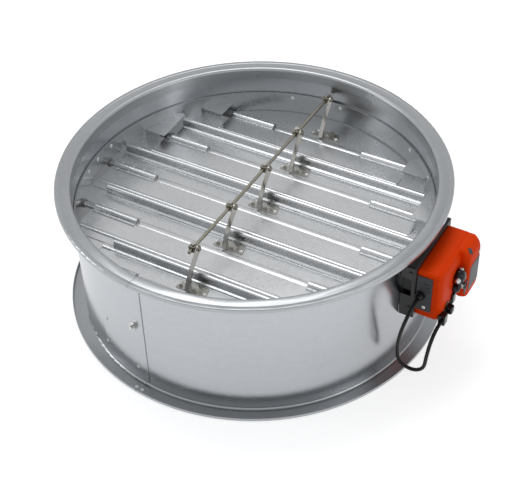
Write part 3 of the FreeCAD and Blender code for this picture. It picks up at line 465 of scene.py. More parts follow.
metalSetup = {
    "casingZinc": {"Tint": (0.46, 0.475, 0.495), "Flake Scale": 160.0, "Flake Contrast": 0.035, "Gloss": 0.24,
                   "Gloss Spread": 0.03, "Waviness": 0.10},
    "flangeZinc": {"Tint": (0.40, 0.415, 0.43), "Flake Scale": 160.0, "Flake Contrast": 0.03, "Gloss": 0.30,
                   "Gloss Spread": 0.03, "Waviness": 0.06},
    "frameZinc": {"Tint": (0.40, 0.415, 0.43), "Flake Scale": 160.0, "Flake Contrast": 0.035, "Gloss": 0.24,
                  "Gloss Spread": 0.03, "Waviness": 0.10},
    "bladeZinc": {"Tint": (0.62, 0.635, 0.65), "Flake Scale": 160.0, "Flake Contrast": 0.03, "Gloss": 0.27,
                  "Gloss Spread": 0.03, "Waviness": 0.10},
    "crankZinc": {"Tint": (0.46, 0.455, 0.43), "Flake Scale": 200.0, "Flake Contrast": 0.03, "Gloss": 0.18,
                  "Gloss Spread": 0.03, "Waviness": 0.10},
    "fastenerZinc": {"Tint": (0.55, 0.55, 0.54), "Flake Scale": 300.0, "Flake Contrast": 0.04, "Gloss": 0.24,
                     "Gloss Spread": 0.03, "Waviness": 0.05},
    "platedLink": {"Tint": (0.34, 0.32, 0.265), "Flake Scale": 200.0, "Flake Contrast": 0.05, "Gloss": 0.22,
                   "Gloss Spread": 0.03, "Waviness": 0.05},
    "shaftSteel": {"Tint": (0.50, 0.50, 0.50), "Flake Scale": 200.0, "Flake Contrast": 0.03, "Gloss": 0.18,
                   "Gloss Spread": 0.03, "Waviness": 0.03},
}
plasticSetup = {
    "orangeShell": ({"Tint": (0.80, 0.050, 0.0), "Drift": 0.05, "Gloss": 0.48, "Grain Depth": 0.06},
                    {"Specular IOR Level": 0.07}, 0.0),
    "charcoalMould": ({"Tint": (0.035, 0.036, 0.039), "Drift": 0.2, "Gloss": 0.5, "Grain Depth": 0.2},
                      {"Specular IOR Level": 0.45}, 0.06),
    "slateFilm": ({"Tint": (0.050, 0.056, 0.064), "Drift": 0.12, "Gloss": 0.42, "Grain Depth": 0.03},
                  {"Specular IOR Level": 0.22}, 0.02),
    "blackGloss": ({"Tint": (0.006, 0.006, 0.0065), "Drift": 0.2, "Gloss": 0.16, "Grain Depth": 0.02},
                   {"Specular IOR Level": 0.30}, 0.0),
    "blackCoat": ({"Tint": (0.02, 0.02, 0.021), "Drift": 0.25, "Gloss": 0.42, "Grain Depth": 0.18},
                  {"Specular IOR Level": 0.5}, 0.05),
    "brownStrap": ({"Tint": (0.10, 0.05, 0.022), "Drift": 0.2, "Gloss": 0.42, "Grain Depth": 0.1},
                   {"Specular IOR Level": 0.5}, 0.03),
    "cableSheath": ({"Tint": (0.006, 0.006, 0.0065), "Drift": 0.2, "Gloss": 0.32, "Grain Depth": 0.05},
                    {"Specular IOR Level": 0.20}, 0.0),
    "bushingMould": ({"Tint": (0.20, 0.205, 0.21), "Drift": 0.1, "Gloss": 0.5, "Grain Depth": 0.1},
                     {"Specular IOR Level": 0.4}, 0.03),
}
skins = {}
for name, values in metalSetup.items():
    skins[name] = finishMaterial(name, zincSkin, values, {"Metallic": 1.0}, 0.03)
for name, (values, shader, dust) in plasticSetup.items():
    skins[name] = finishMaterial(name, mouldedSkin, values, shader, dust)
cable.data.materials.append(skins["cableSheath"])
print("stage: materials mixed,", len(skins))

# Finish of each carried-over node: material and rounded edge in millimetres.
finishPlan = {
    "casing_shell": ("casingZinc", 0.3),
    "flange_ring_top": ("flangeZinc", 0.35),
    "flange_ring_bottom": ("flangeZinc", 0.35),
    "blade_frame_ring": ("frameZinc", 0.3),
    "seam_strap": ("casingZinc", 0.3),
    "casing_bolt": ("fastenerZinc", 0.4),
    "shaft_bushings": ("bushingMould", 0.3),
    "label_plate": ("slateFilm", 0.15),
    "end_plate": ("charcoalMould", 0.4),
    "cable_gland": ("blackGloss", 0.5),
    "end_stop_upper": ("blackGloss", 3.2),
    "end_stop_lower": ("blackGloss", 3.2),
    "tie_strap": ("brownStrap", 0.6),
    "position_pointer": ("charcoalMould", 0.3),
    "block_screws": ("fastenerZinc", 0.3),
    "push_button": ("charcoalMould", 0.5),
}
for n in (1, 2, 4, 5):
    for side in ("right", "left"):
        finishPlan["corner_%d_%s" % (n, side)] = ("bladeZinc", 0.25)
for n in range(1, 6):
    finishPlan["blade_%d_panel" % n] = ("bladeZinc", 0.3)
    finishPlan["blade_%d_sleeves" % n] = ("bladeZinc", 0.35)
    finishPlan["blade_%d_shafts" % n] = ("shaftSteel", 0.4)


def pieceName(node):
    words = node.split("_")
    return words[0] + "".join(word.capitalize() for word in words[1:]) + "Piece"


softAngle = 32


def shadeByAngle(bm, angle):
    for face in bm.faces:
        face.smooth = True
    for line in bm.edges:
        line.smooth = line.calc_face_angle(0.0) < math.radians(angle)


def roundEdges(piece, width, angle, segments):
    bevel = piece.modifiers.new("edges", "BEVEL")
    bevel.width = width
    bevel.segments = segments
    bevel.limit_method = "ANGLE"
    bevel.angle_limit = math.radians(angle)
    bevel.harden_normals = True


def dressNode(node, skin, edge):
    # A merged copy of the node with smooth curves and rounded edges.
    source = frame["nodes"][node]
    bm = bmesh.new()
    bm.from_mesh(source.data)
    bmesh.ops.remove_doubles(bm, verts=bm.verts, dist=2e-6)
    bmesh.ops.dissolve_limit(bm, angle_limit=math.radians(0.3), verts=bm.verts, edges=bm.edges)
    shadeByAngle(bm, softAngle)
    mesh = bpy.data.meshes.new(pieceName(node))
    bm.to_mesh(mesh)
    bm.free()
    mesh.materials.append(skins[skin])
    piece = bpy.data.objects.new(pieceName(node), mesh)
    scene.collection.objects.link(piece)
    roundEdges(piece, edge / 1000, softAngle, 2)
    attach(piece, source["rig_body"])
    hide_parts(node)


for node, (skin, edge) in finishPlan.items():
    dressNode(node, skin, edge)
print("stage: nodes dressed,", len(finishPlan))

# Rivets: one tree sets a domed head at each end of a shank on every point.
rivetSetup = {
    "sleeve": {"head": 0.0016, "dome": 0.0007, "shank": 0.0012, "grip": 0.0027},
    "foot": {"head": 0.0034, "dome": 0.0014, "shank": 0.0020, "grip": 0.0027},
    "ring": {"head": 0.0040, "dome": 0.0012, "shank": 0.0025, "grip": 0.0055},
    "strap": {"head": 0.0032, "dome": 0.0012, "shank": 0.0020, "grip": 0.0027},
    "face": {"head": 0.0034, "dome": 0.0012, "shank": 0.0022, "grip": 0.0002},
}


def buildRivetTree():
    tree = bpy.data.node_groups.new("rivetRow", "GeometryNodeTree")
    tree.interface.new_socket(name="Points", in_out="INPUT", socket_type="NodeSocketGeometry")
    sizes = {"Head Radius": 0.002, "Dome Height": 0.001, "Shank Radius": 0.001, "Grip": 0.003}
    for label, value in sizes.items():
        socket = tree.interface.new_socket(name=label, in_out="INPUT", socket_type="NodeSocketFloat")
        socket.default_value = value
    tree.interface.new_socket(name="Finish", in_out="INPUT", socket_type="NodeSocketMaterial")
    tree.interface.new_socket(name="Rivets", in_out="OUTPUT", socket_type="NodeSocketGeometry")
    link = tree.links.new
    start = addNode(tree, "NodeGroupInput", (-1100, 0))
    end = addNode(tree, "NodeGroupOutput", (900, 0))
    ball = addNode(tree, "GeometryNodeMeshUVSphere", (-800, 200))
    ball.inputs["Segments"].default_value = 14
    ball.inputs["Rings"].default_value = 8
    ball.inputs["Radius"].default_value = 1.0
    flat = addNode(tree, "ShaderNodeCombineXYZ", (-800, 40))
    link(start.outputs["Head Radius"], flat.inputs[0])
    link(start.outputs["Head Radius"], flat.inputs[1])
    link(start.outputs["Dome Height"], flat.inputs[2])
    dome = addNode(tree, "GeometryNodeTransform", (-600, 200))
    link(ball.outputs["Mesh"], dome.inputs["Geometry"])
    link(flat.outputs[0], dome.inputs["Scale"])
    down = addNode(tree, "ShaderNodeMath", (-800, -120), operation="MULTIPLY")
    link(start.outputs["Grip"], down.inputs[0])
    down.inputs[1].default_value = -1.0
    lower = addNode(tree, "ShaderNodeCombineXYZ", (-600, -60))
    link(down.outputs[0], lower.inputs[2])
    tail = addNode(tree, "GeometryNodeTransform", (-400, 60))
    link(dome.outputs[0], tail.inputs["Geometry"])
    link(lower.outputs[0], tail.inputs["Translation"])
    half = addNode(tree, "ShaderNodeMath", (-800, -300), operation="MULTIPLY")
    link(start.outputs["Grip"], half.inputs[0])
    half.inputs[1].default_value = -0.5
    middle = addNode(tree, "ShaderNodeCombineXYZ", (-600, -300))
    link(half.outputs[0], middle.inputs[2])
    pin = addNode(tree, "GeometryNodeMeshCylinder", (-600, -460))
    pin.inputs["Vertices"].default_value = 10
    link(start.outputs["Shank Radius"], pin.inputs["Radius"])
    link(start.outputs["Grip"], pin.inputs["Depth"])
    shank = addNode(tree, "GeometryNodeTransform", (-400, -300))
    link(pin.outputs["Mesh"], shank.inputs["Geometry"])
    link(middle.outputs[0], shank.inputs["Translation"])
    whole = addNode(tree, "GeometryNodeJoinGeometry", (-200, 100))
    for item in (dome, tail, shank):
        link(item.outputs[0], whole.inputs[0])
    way = addNode(tree, "GeometryNodeInputNamedAttribute", (-200, -120), data_type="FLOAT_VECTOR")
    way.inputs["Name"].default_value = "rivetWay"
    turn = addNode(tree, "FunctionNodeAlignRotationToVector", (0, -120), axis="Z")
    link(way.outputs[0], turn.inputs["Vector"])
    spots = addNode(tree, "GeometryNodeMeshToPoints", (0, 260))
    link(start.outputs["Points"], spots.inputs[0])
    copies = addNode(tree, "GeometryNodeInstanceOnPoints", (240, 160))
    link(spots.outputs[0], copies.inputs["Points"])
    link(whole.outputs[0], copies.inputs["Instance"])
    link(turn.outputs[0], copies.inputs["Rotation"])
    smooth = addNode(tree, "GeometryNodeSetShadeSmooth", (420, 160))
    real = addNode(tree, "GeometryNodeRealizeInstances", (560, 160))
    paint = addNode(tree, "GeometryNodeSetMaterial", (720, 160))
    link(copies.outputs[0], real.inputs[0])
    link(real.outputs[0], smooth.inputs[0])
    link(smooth.outputs[0], paint.inputs["Geometry"])
    link(start.outputs["Finish"], paint.inputs["Material"])
    link(paint.outputs[0], end.inputs[0])
    return tree


rivetTree = buildRivetTree()


def socketId(tree, label):
    for item in tree.interface.items_tree:
        if item.item_type == "SOCKET" and item.in_out == "INPUT" and item.name == label:
            return item.identifier
    return None


def rivetMesh(kind, spots):
    # spots: (place, way) with the place on the upper seat and the way out of it.
    sizes = rivetSetup[kind]
    mesh = bpy.data.meshes.new("rivetSpots")
    mesh.from_pydata([tuple(place) for place, way in spots], [], [])
    ways = mesh.attributes.new("rivetWay", "FLOAT_VECTOR", "POINT")
    for index, (place, way) in enumerate(spots):
        ways.data[index].vector = way
    holder = bpy.data.objects.new("rivetSpots", mesh)
    scene.collection.objects.link(holder)
    build = holder.modifiers.new("rivets", "NODES")
    build.node_group = rivetTree
    build[socketId(rivetTree, "Head Radius")] = sizes["head"]
    build[socketId(rivetTree, "Dome Height")] = sizes["dome"]
    build[socketId(rivetTree, "Shank Radius")] = sizes["shank"]
    build[socketId(rivetTree, "Grip")] = sizes["grip"]
    build[socketId(rivetTree, "Finish")] = skins["fastenerZinc"]
    graph = bpy.context.evaluated_depsgraph_get()
    result = bpy.data.meshes.new_from_object(holder.evaluated_get(graph), depsgraph=graph)
    bpy.data.objects.remove(holder)
    return result


def joinedPiece(name, meshes, body, nodes):
    bm = bmesh.new()
    for mesh in meshes:
        bm.from_mesh(mesh)
    data = bpy.data.meshes.new(name)
    bm.to_mesh(data)
    bm.free()
    data.materials.clear()
    data.materials.append(meshes[0].materials[0])
    piece = bpy.data.objects.new(name, data)
    scene.collection.objects.link(piece)
    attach(piece, body)
    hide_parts(*nodes)


bladeSetup = {
    "pitch": 0.120,
    "axisHeight": 0.162,
    "sleeveWall": 0.0015,
    "sleeveLength": 0.090,
    "halfLength": {1: 0.188, 2: 0.264, 3: 0.303, 4: 0.264, 5: 0.188},
    "endGap": {1: 0.004, 2: 0.003, 3: 0.003, 4: 0.003, 5: 0.004},
    "footRivets": ((-0.0185, 0.020), (0.030, 0.018), (-0.0125, 0.029)),
    "rivetCount": 4,
    "rivetInset": 0.010,
    "rivetSide": 0.0097,
}
rivetStep = (bladeSetup["sleeveLength"] - 2 * bladeSetup["rivetInset"]) / (bladeSetup["rivetCount"] - 1)
up = Vector((0, 0, 1))
for n in range(1, 6):
    y = (3 - n) * bladeSetup["pitch"]
    top = bladeSetup["axisHeight"] + bladeSetup["sleeveWall"]
    first = bladeSetup["halfLength"][n] - bladeSetup["endGap"][n] - bladeSetup["sleeveLength"]
    rows = []
    for side in (1, -1):
        for k in range(bladeSetup["rivetCount"]):
            x = side * (first + bladeSetup["rivetInset"] + k * rivetStep)
            for dy in (-bladeSetup["rivetSide"], bladeSetup["rivetSide"]):
                rows.append(((x, y + dy, top), up))
    feet = [((x, y + dy, top), up) for x, dy in bladeSetup["footRivets"]]
    joinedPiece("bladeRivets%d" % n, [rivetMesh("sleeve", rows), rivetMesh("foot", feet)],
                "blade_%d" % n, ["blade_%d_rivets" % n])


casingSetup = {
    "wallOut": 0.318,
    "strapOut": 0.3192,
    "ringRivets": (178.5, -173.1, -166.1, 38.3, 54.0, 9.0, 88.0, 106.0),
    "strapRivets": ((-99.4, 0.036), (-114.2, 0.040), (-99.4, 0.225), (-112.5, 0.225), (-112.5, 0.100)),
    "faceRivets": ((-0.0495, -0.330), (-0.0375, -0.3315)),
}


def radial(azimuth, radius, height):
    angle = math.radians(azimuth)
    way = Vector((math.cos(angle), math.sin(angle), 0))
    return way * radius + Vector((0, 0, height)), way


ringSpots = [radial(azimuth, casingSetup["wallOut"], 0.196) for azimuth in casingSetup["ringRivets"]]
strapSpots = [radial(azimuth, casingSetup["strapOut"], height) for azimuth,
              height in casingSetup["strapRivets"]]
faceSpots = [(Vector((x, y, 0.0015)), up) for x, y in casingSetup["faceRivets"]]
joinedPiece("casingRivetHeads", [rivetMesh("ring", ringSpots), rivetMesh("strap", strapSpots),
                                 rivetMesh("face", faceSpots)],
            "casing", ["casing_rivets"])
print("stage: rivets set")

# Cranks: a slim pressed arm with a turned edge, on a foot plate with lanced lugs.
crankSetup = {
    "eye": (0.056, 0.058),
    "eyeRound": 0.0076,
    "plateX": (-0.0030, -0.0010),
    "flangeEnd": 0.0050,
    "flangeSheet": 0.0016,
    "line": ((0.0180, 0.0010), (0.0215, 0.0130), (0.0285, 0.0270), (0.0390, 0.0400), (0.0500, 0.0510),
             (0.0560, 0.0580)),
    "lineSteps": 5,
    "widths": (0.0105, 0.0080, 0.0070, 0.0068, 0.0072, 0.0080),
    "foot": ((-0.024, 0.012), (0.036, 0.012), (0.031, 0.0335), (-0.017, 0.0335)),
    "footSheet": 0.0015,
    "footEase": 0.003,
    "discLow": 0.0012,
    "discRise": 0.0016,
    "lugHalf": 0.0045,
    "lugTop": (-0.0012, 0.0028),
    "lugSheet": 0.0012,
    "discs": ((0.0230, 0.0250, 0.0060), (-0.0070, 0.0270, 0.0035)),
    "lugs": ((0.0120, 0.0150, 0.0080), (0.0165, 0.0290, 0.0065), (-0.0150, 0.0160, 0.0060)),
}


def addPrism(bm, ring, offset):
    # A closed prism from a ring of points and an offset vector.
    low = [bm.verts.new(point) for point in ring]
    high = [bm.verts.new(Vector(point) + Vector(offset)) for point in ring]
    count = len(ring)
    bm.faces.new(list(reversed(low)))
    bm.faces.new(high)
    for k in range(count):
        bm.faces.new((low[k], low[(k + 1) % count], high[(k + 1) % count], high[k]))


def boxShape(bm, x, y, z):
    ring = [(x[0], y[0], z[0]), (x[1], y[0], z[0]), (x[1], y[1], z[0]), (x[0], y[1], z[0])]
    addPrism(bm, ring, (0, 0, z[1] - z[0]))


def finishShape(bm, name, skin, edge, body, nodes, slotName, angle=35, segments=2):
    bmesh.ops.recalc_face_normals(bm, faces=bm.faces)
    shadeByAngle(bm, angle)
    mesh = bpy.data.meshes.new(name)
    bm.to_mesh(mesh)
    bm.free()
    mesh.materials.append(skins[skin])
    piece = bpy.data.objects.new(name, mesh)
    scene.collection.objects.link(piece)
    if edge:
        roundEdges(piece, edge, angle, segments)
    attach(piece, body)
    if nodes:
        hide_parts(*nodes)


def smoothLine(points, steps):
    # Points on a soft curve through the given points.
    result = []
    last = len(points) - 1
    for i in range(last):
        p0 = Vector(points[max(i - 1, 0)])
        p1 = Vector(points[i])
        p2 = Vector(points[i + 1])
        p3 = Vector(points[min(i + 2, last)])
        for k in range(steps):
            t = k / steps
            result.append(0.5 * ((2 * p1) + (p2 - p0) * t + (2 * p0 - 5 * p1 + 4 * p2 - p3) * t * t
                                 + (3 * p1 - p0 - 3 * p2 + p3) * t ** 3))
    result.append(Vector(points[-1]))
    return result


def buildCrank(n, setup):
    y0 = (3 - n) * bladeSetup["pitch"]
    z0 = bladeSetup["axisHeight"]
    bm = bmesh.new()
    line = smoothLine([(a, b, w) for (a, b), w in zip(setup["line"], setup["widths"])], setup["lineSteps"])
    front = []
    back = []
    for i, point in enumerate(line):
        before = line[max(i - 1, 0)]
        after = line[min(i + 1, len(line) - 1)]
        way = Vector((after.x - before.x, after.y - before.y)).normalized()
        side = Vector((way.y, -way.x))
        front.append(Vector((point.x, point.y)) + side * point.z)
        back.append(Vector((point.x, point.y)) - side * point.z)
    eyeA, eyeB = setup["eye"]
    eyeRound = setup["eyeRound"]
    cap = []
    for k in range(1, 12):
        angle = math.radians(-45 + k * 15)
        cap.append(Vector((eyeA + eyeRound * math.cos(angle), eyeB + eyeRound * math.sin(angle))))
    outline = front[:-1] + cap + list(reversed(back[:-1]))
    x0, x1 = setup["plateX"]
    addPrism(bm, [(x0, y0 + p.x, z0 + p.y) for p in outline], (x1 - x0, 0, 0))
    for i in range(len(back) - 3):
        a = back[i]
        b = back[i + 1]
        wayAB = (b - a).normalized()
        inward = Vector((wayAB.y, -wayAB.x)) * setup["flangeSheet"]
        quad = [a, b + wayAB * 0.0003, b + wayAB * 0.0003 + inward, a + inward]
        addPrism(bm, [(x1 - 0.0001, y0 + p.x, z0 + p.y) for p in quad], (setup["flangeEnd"] - x1, 0, 0))
    foot = []
    corners = [Vector(p) for p in setup["foot"]]
    for i, corner in enumerate(corners):
        before = (corners[i - 1] - corner).normalized() * setup["footEase"]
        after = (corners[(i + 1) % 4] - corner).normalized() * setup["footEase"]
        for t in (0.0, 0.33, 0.67, 1.0):
            foot.append(corner + before * (1 - t) ** 2 + after * t ** 2)
    addPrism(bm, [(p.x, y0 + p.y, z0) for p in foot], (0, 0, setup["footSheet"]))
    for x, dy, radius in setup["discs"]:
        ring = []
        for k in range(24):
            angle = math.radians(15 * k)
            ring.append((x + radius * math.cos(angle), y0 + dy + radius * math.sin(angle),
                         z0 + setup["discLow"]))
        addPrism(bm, ring, (0, 0, setup["discRise"]))
    half = setup["lugHalf"]
    left, right = setup["lugTop"]
    for x, dy, height in setup["lugs"]:
        base = z0 + setup["footSheet"] - 0.0002
        ring = [(x - half, y0 + dy, base), (x + half, y0 + dy, base),
                (x + right, y0 + dy, base + height), (x + left, y0 + dy, base + height)]
        addPrism(bm, ring, (0, setup["lugSheet"], 0))
    finishShape(bm, "crank%d" % n, "crankZinc", 0.00025, "blade_%d" % n, ["blade_%d_crank" % n],
                "galvanised_blade")


for n in range(1, 6):
    buildCrank(n, crankSetup)

# Swivel blocks: two cheeks round the rod, a short spindle into the crank eye and a washer.
blockSetup = {"rodX": -0.0105, "rodZ": 0.220, "half": 0.0062, "slot": 0.0031, "web": 0.0032,
              "spindle": 0.0038,
              "spindleEnd": 0.0022, "washer": 0.0062, "washerX": (-0.0008, 0.0006)}


def addRound(bm, x0, x1, y, z, radius, sides=28):
    ring = []
    for k in range(sides):
        angle = 2 * math.pi * k / sides
        ring.append((x0, y + radius * math.cos(angle), z + radius * math.sin(angle)))
    addPrism(bm, ring, (x1 - x0, 0, 0))


def buildBlocks(setup):
    bm = bmesh.new()
    x = setup["rodX"]
    z = setup["rodZ"]
    half = setup["half"]
    slot = setup["slot"]
    web = setup["web"]
    for n in range(1, 6):
        y = (3 - n) * bladeSetup["pitch"] + crankSetup["eye"][0]
        for low, high in ((-half, -slot), (slot, half)):
            boxShape(bm, (x + low, x + high), (y - half, y + half), (z - half, z + half))
        for low, high in ((-half, -slot), (slot, half)):
            boxShape(bm, (x - web, x + web), (y - half, y + half), (z + low, z + high))
        addRound(bm, x + half - 0.0005, setup["spindleEnd"], y, z, setup["spindle"])
        addRound(bm, *setup["washerX"], y, z, setup["washer"])
    finishShape(bm, "swivelBlockSet", "platedLink", 0.0005, "linkage", ["swivel_blocks"], "plated_link")


buildBlocks(blockSetup)

# A shallow swage runs along each shaft line between the two sleeves.
swageSetup = {"half": 0.0062, "rise": 0.0015, "taper": 0.014}


def buildSwage(n, setup):
    y = (3 - n) * bladeSetup["pitch"]
    z = bladeSetup["axisHeight"]
    reach = bladeSetup["halfLength"][n] - bladeSetup["endGap"][n] - bladeSetup["sleeveLength"] - 0.002
    bm = bmesh.new()
    stations = [(-reach, 0.15), (-reach + setup["taper"], 1.0), (reach - setup["taper"], 1.0), (reach, 0.15)]
    rows = []
    for x, share in stations:
        row = []
        for k in range(13):
            angle = math.pi * k / 12
            row.append(bm.verts.new((x, y - setup["half"] * math.cos(angle),
                                     z - 0.0002 + setup["rise"] * share * math.sin(angle) ** 1.4)))
        rows.append(row)
    for a, b in zip(rows, rows[1:]):
        for k in range(12):
            bm.faces.new((a[k], b[k], b[k + 1], a[k + 1]))
    for a, b in zip(rows, rows[1:]):
        bm.faces.new((a[0], a[12], b[12], b[0]))
    bm.faces.new(rows[0])
    bm.faces.new(list(reversed(rows[-1])))
    finishShape(bm, "bladeSwage%d" % n, "bladeZinc", 0.0, "blade_%d" % n, [], "galvanised_blade")


for n in range(1, 6):
    buildSwage(n, swageSetup)
print("stage: cranks, blocks and swages made")

# Actuator: lofted housing halves with a parting groove, shaft clamp, bracket, connector and screws.
actuatorSetup = {
    "low": {"y": (-0.0630, 0.0670), "z": (0.1220, 0.2210), "corner": 0.0070, "stations": (
        (0.3370, 0.0012, 0.0012, 0.2198), (0.3382, 0.0, 0.0, 0.2210), (0.3712, 0.0, 0.0, 0.2210),
        (0.3716, 0.0007, 0.0007, 0.2203), (0.3724, 0.0007, 0.0007, 0.2203), (0.3728, 0.0, 0.0, 0.2210),
        (0.3752, 0.0008, 0.0010, 0.2200), (0.3776, 0.0026, 0.0032, 0.2176), (0.3796, 0.0052, 0.0075, 0.2130),
        (0.3810, 0.0090, 0.0140, 0.2060), (0.3814, 0.0130, 0.0200, 0.2000))},
    "raised": {"y": (0.0142, 0.0668), "z": (0.1150, 0.2210), "corner": 0.0075, "stations": (
        (0.3722, 0.0012, 0.0060, 0.2204), (0.3750, 0.0002, 0.0030, 0.2208), (0.3835, 0.0, 0.0, 0.2208),
        (0.3856, 0.0002, 0.0002, 0.2200), (0.3880, 0.0005, 0.0006, 0.2180), (0.3910, 0.0010, 0.0012, 0.2148),
        (0.3940, 0.0020, 0.0024, 0.2108), (0.3960, 0.0036, 0.0042, 0.2070), (0.3970, 0.0056, 0.0066,
                                                                             0.2038))},
}


def loftHousing(bm, part):
    y0, y1 = part["y"]
    z0, z1 = part["z"]
    rings = []
    for x, inset, lift, top in part["stations"]:
        a, b = y0 + inset, y1 - inset
        c, d = z0 + lift, min(z1, top)
        r = part["corner"]
        ring = []
        for cy, cz, first in ((b - r, d - r, 0), (a + r, d - r, 90), (a + r, c + r, 180), (b - r, c + r,
                                                                                           270)):
            for k in range(9):
                angle = math.radians(first + 90 * k / 8)
                ring.append(bm.verts.new((x, cy + r * math.cos(angle), cz + r * math.sin(angle))))
        rings.append(ring)
    count = len(rings[0])
    for low, high in zip(rings, rings[1:]):
        for k in range(count):
            bm.faces.new((low[k], low[(k + 1) % count], high[(k + 1) % count], high[k]))
    bm.faces.new(list(reversed(rings[0])))
    bm.faces.new(rings[-1])


def buildHousing(setup):
    bm = bmesh.new()
    loftHousing(bm, setup["low"])
    loftHousing(bm, setup["raised"])
    finishShape(bm, "actuatorHousing", "orangeShell", 0.0, "casing", ["actuator_base", "actuator_cover"],
                "orange_housing", angle=48)


def addTurned(bm, origin, way, profile, sides=28):
    # A turned solid: profile holds (distance along the way, radius).
    way = Vector(way).normalized()
    helper = Vector((0, 0, 1)) if abs(way.z) < 0.9 else Vector((1, 0, 0))
    across = way.cross(helper).normalized()
    over = way.cross(across)
    rings = []
    for distance, radius in profile:
        ring = []
        for k in range(sides):
            angle = 2 * math.pi * k / sides
            ring.append(bm.verts.new(Vector(origin) + way * distance
                                     + (across * math.cos(angle) + over * math.sin(angle)) * radius))
        rings.append(ring)
    for low, high in zip(rings, rings[1:]):
        for k in range(sides):
            bm.faces.new((low[k], low[(k + 1) % sides], high[(k + 1) % sides], high[k]))
    bm.faces.new(list(reversed(rings[0])))
    bm.faces.new(rings[-1])


pan = ((0, 0.0034), (0.0009, 0.0034), (0.0015, 0.0027), (0.0015, 0.0012), (0.0006, 0.0010))
hexHead = ((0, 0.0036), (0.0018, 0.0036), (0.0024, 0.0028))
outward = (1, 0, 0)
nearward = (0, -1, 0)
# Turned pieces: a finish, and solids as origin, way, sides and profile.
turnedSetup = {
    "shaftClampHead": {
        "finish": ("blackGloss", 0.0, "blade_3", ["shaft_clamp"], "black_plastic", 50),
        "solids": (
            ((0.3822, 0, 0.1620), outward, 28, ((0, 0.0110), (0.001, 0.0120), (0.0085, 0.0120), (0.0100,
                                                                                                 0.0100))),
            ((0.3822, -0.0012, 0.1785), outward, 28, (
                (0, 0.0130), (0.001, 0.0140), (0.0070, 0.0140), (0.0105, 0.0124), (0.0132, 0.0088),
                (0.0152, 0.0040))),
            ((0.3822, -0.0100, 0.1585), outward, 28, ((0, 0.0060), (0.0085, 0.0060), (0.0110, 0.0036)))),
    },
    "clampNutPair": {
        "finish": ("fastenerZinc", 0.0003, "blade_3", ["clamp_nuts"], "zinc_fastener"),
        "solids": (
            ((0.3892, -0.0120, 0.1805), nearward, 28, (
                (0, 0.0048), (0.0036, 0.0048), (0.0042, 0.0038), (0.0060, 0.0038), (0.0066, 0.0028))),
            ((0.3880, 0.0030, 0.1905), (0, 0, 1), 6, ((0, 0.0038), (0.0032, 0.0038), (0.0040, 0.0028)))),
    },
    "actuatorScrewSet": {
        "finish": ("fastenerZinc", 0.0, "casing", ["actuator_screws"], "zinc_fastener"),
        "solids": (
            ((0.3968, 0.0570, 0.1940), outward, 28, pan),
            ((0.3530, -0.0650, 0.1480), nearward, 28, pan)),
    },
    "bracketHexPair": {
        "finish": ("blackCoat", 0.0, "casing", [], "black_bracket"),
        "solids": (
            ((0.3280, -0.0680, 0.1380), nearward, 6, hexHead),
            ((0.3280, -0.0680, 0.2140), nearward, 6, hexHead)),
    },
    "plugGrip": {
        "finish": ("cableSheath", 0.0003, "casing", [], "cable_black"),
        "solids": (((0.3850, -0.0625, 0.1270), nearward, 28, ((0, 0.0052), (0.0018, 0.0052), (0.0034,
                                                                                              0.0046))),),
    },
}


def buildTurned(name):
    bm = bmesh.new()
    for origin, way, sides, profile in turnedSetup[name]["solids"]:
        addTurned(bm, origin, way, profile, sides)
    finishShape(bm, name, *turnedSetup[name]["finish"])


bracketSetup = {"plateX": (0.3350, 0.3370), "y": (-0.0680, 0.0750), "z": (0.1180, 0.2270), "wall": 0.3180,
                "sheet": 0.0020, "opening": (0.1640, 0.2000), "lip": 0.0050, "pocket": 0.0070,
                "innerZ": (0.1280, 0.2240), "clear": 0.0003}


def wallAt(y, setup):
    return math.sqrt(setup["wall"] ** 2 - y * y) + setup["clear"]


def buildBracket(setup):
    # Back plate, top shelf that reaches the wall, and two side wings; the near wing has an opening.
    bm = bmesh.new()
    plate = setup["plateX"]
    y0, y1 = setup["y"]
    z0, z1 = setup["z"]
    sheet = setup["sheet"]
    boxShape(bm, plate, setup["y"], setup["z"])
    shelf = [(plate[0], y1, z1 - sheet), (plate[0], y0, z1 - sheet)]
    for k in range(17):
        y = y0 + (y1 - y0) * k / 16
        shelf.append((wallAt(y, setup), y, z1 - sheet))
    addPrism(bm, shelf, (0, 0, sheet))
    low, high = setup["opening"]
    for edge, bands in ((y0, ((z0, low), (high, z1))), (y1 - sheet, ((z0, z1),))):
        reach = max(wallAt(edge, setup), wallAt(edge + sheet, setup))
        for bottom, top in bands:
            boxShape(bm, (reach, plate[0]), (edge, edge + sheet), (bottom, top))
        if len(bands) == 2:
            boxShape(bm, (plate[0] - setup["lip"], plate[0]), (edge, edge + sheet), (low, high))
    finishShape(bm, "actuatorBracketPlate", "blackCoat", 0.0005, "casing", ["actuator_bracket"],
                "black_bracket")
    # The inner wing takes a darker black than the bracket plate: painted shade in the pocket opening.
    inner = y0 + setup["pocket"]
    bm = bmesh.new()
    boxShape(bm, (wallAt(inner, setup), plate[0]), (inner, inner + sheet), setup["innerZ"])
    finishShape(bm, "bracketInnerWing", "blackGloss", 0.0003, "casing", [], "black_bracket")


plugSetup = {
    "body": ((0.3790, 0.3912), (-0.0640, -0.0490), (0.1190, 0.1390)),
    "foot": ((0.3770, 0.3850), (-0.0600, -0.0530), (0.1235, 0.1345)),
}


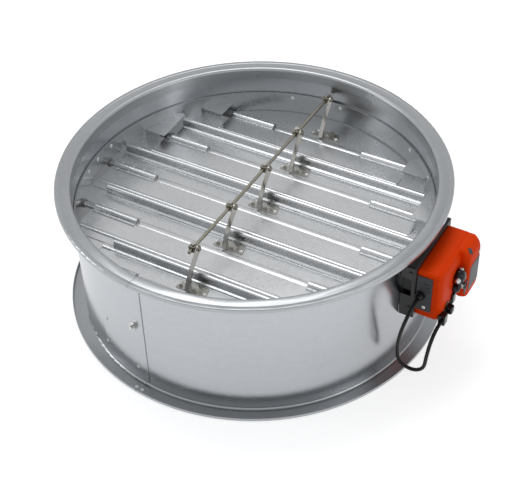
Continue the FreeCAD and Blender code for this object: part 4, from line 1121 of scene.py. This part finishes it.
def buildPlug(setup):
    bm = bmesh.new()
    boxShape(bm, *setup["body"])
    boxShape(bm, *setup["foot"])
    finishShape(bm, "cablePlug", "blackGloss", 0.0018, "casing", ["cable_connector"], "black_plastic",
                segments=3)


# The ring's rolled edge: a narrow lip that nearly closes the gap to the wall.
lipSetup = {"inner": 0.3126, "outer": 0.3158, "low": 0.2043, "high": 0.2051, "parts": 180}


def buildRingLip(setup):
    bm = bmesh.new()
    rings = []
    for radius, z in ((setup["inner"], setup["low"]), (setup["outer"], setup["low"]),
                      (setup["outer"], setup["high"]), (setup["inner"], setup["high"])):
        ring = []
        for k in range(setup["parts"]):
            angle = 2 * math.pi * k / setup["parts"]
            ring.append(bm.verts.new((radius * math.cos(angle), radius * math.sin(angle), z)))
        rings.append(ring)
    for i in range(4):
        low = rings[i]
        high = rings[(i + 1) % 4]
        for k in range(setup["parts"]):
            after = (k + 1) % setup["parts"]
            bm.faces.new((low[k], low[after], high[after], high[k]))
    finishShape(bm, "frameRingLip", "frameZinc", 0.0002, "casing", [], "galvanised_frame")


buildRingLip(lipSetup)

rodSetup = {"radius": 0.0030, "past": 0.0150, "ease": 0.0006}


def buildRod(setup):
    # The rod runs on past the two end blocks.
    far = 2 * bladeSetup["pitch"] + crankSetup["eye"][0] + setup["past"]
    near = -2 * bladeSetup["pitch"] + crankSetup["eye"][0] - setup["past"]
    radius = setup["radius"]
    ease = setup["ease"]
    bm = bmesh.new()
    addTurned(bm, (blockSetup["rodX"], near, blockSetup["rodZ"]), (0, 1, 0),
              ((0, radius - ease), (ease, radius), (far - near - ease, radius), (far - near, radius - ease)))
    finishShape(bm, "linkageRodBar", "platedLink", 0.0, "linkage", ["linkage_rod"], "plated_link")


buildRod(rodSetup)
buildHousing(actuatorSetup)
buildTurned("shaftClampHead")
buildTurned("clampNutPair")
buildBracket(bracketSetup)
buildTurned("actuatorScrewSet")
buildTurned("bracketHexPair")
buildPlug(plugSetup)
buildTurned("plugGrip")
print("stage: actuator made")

bpy.context.view_layer.update()
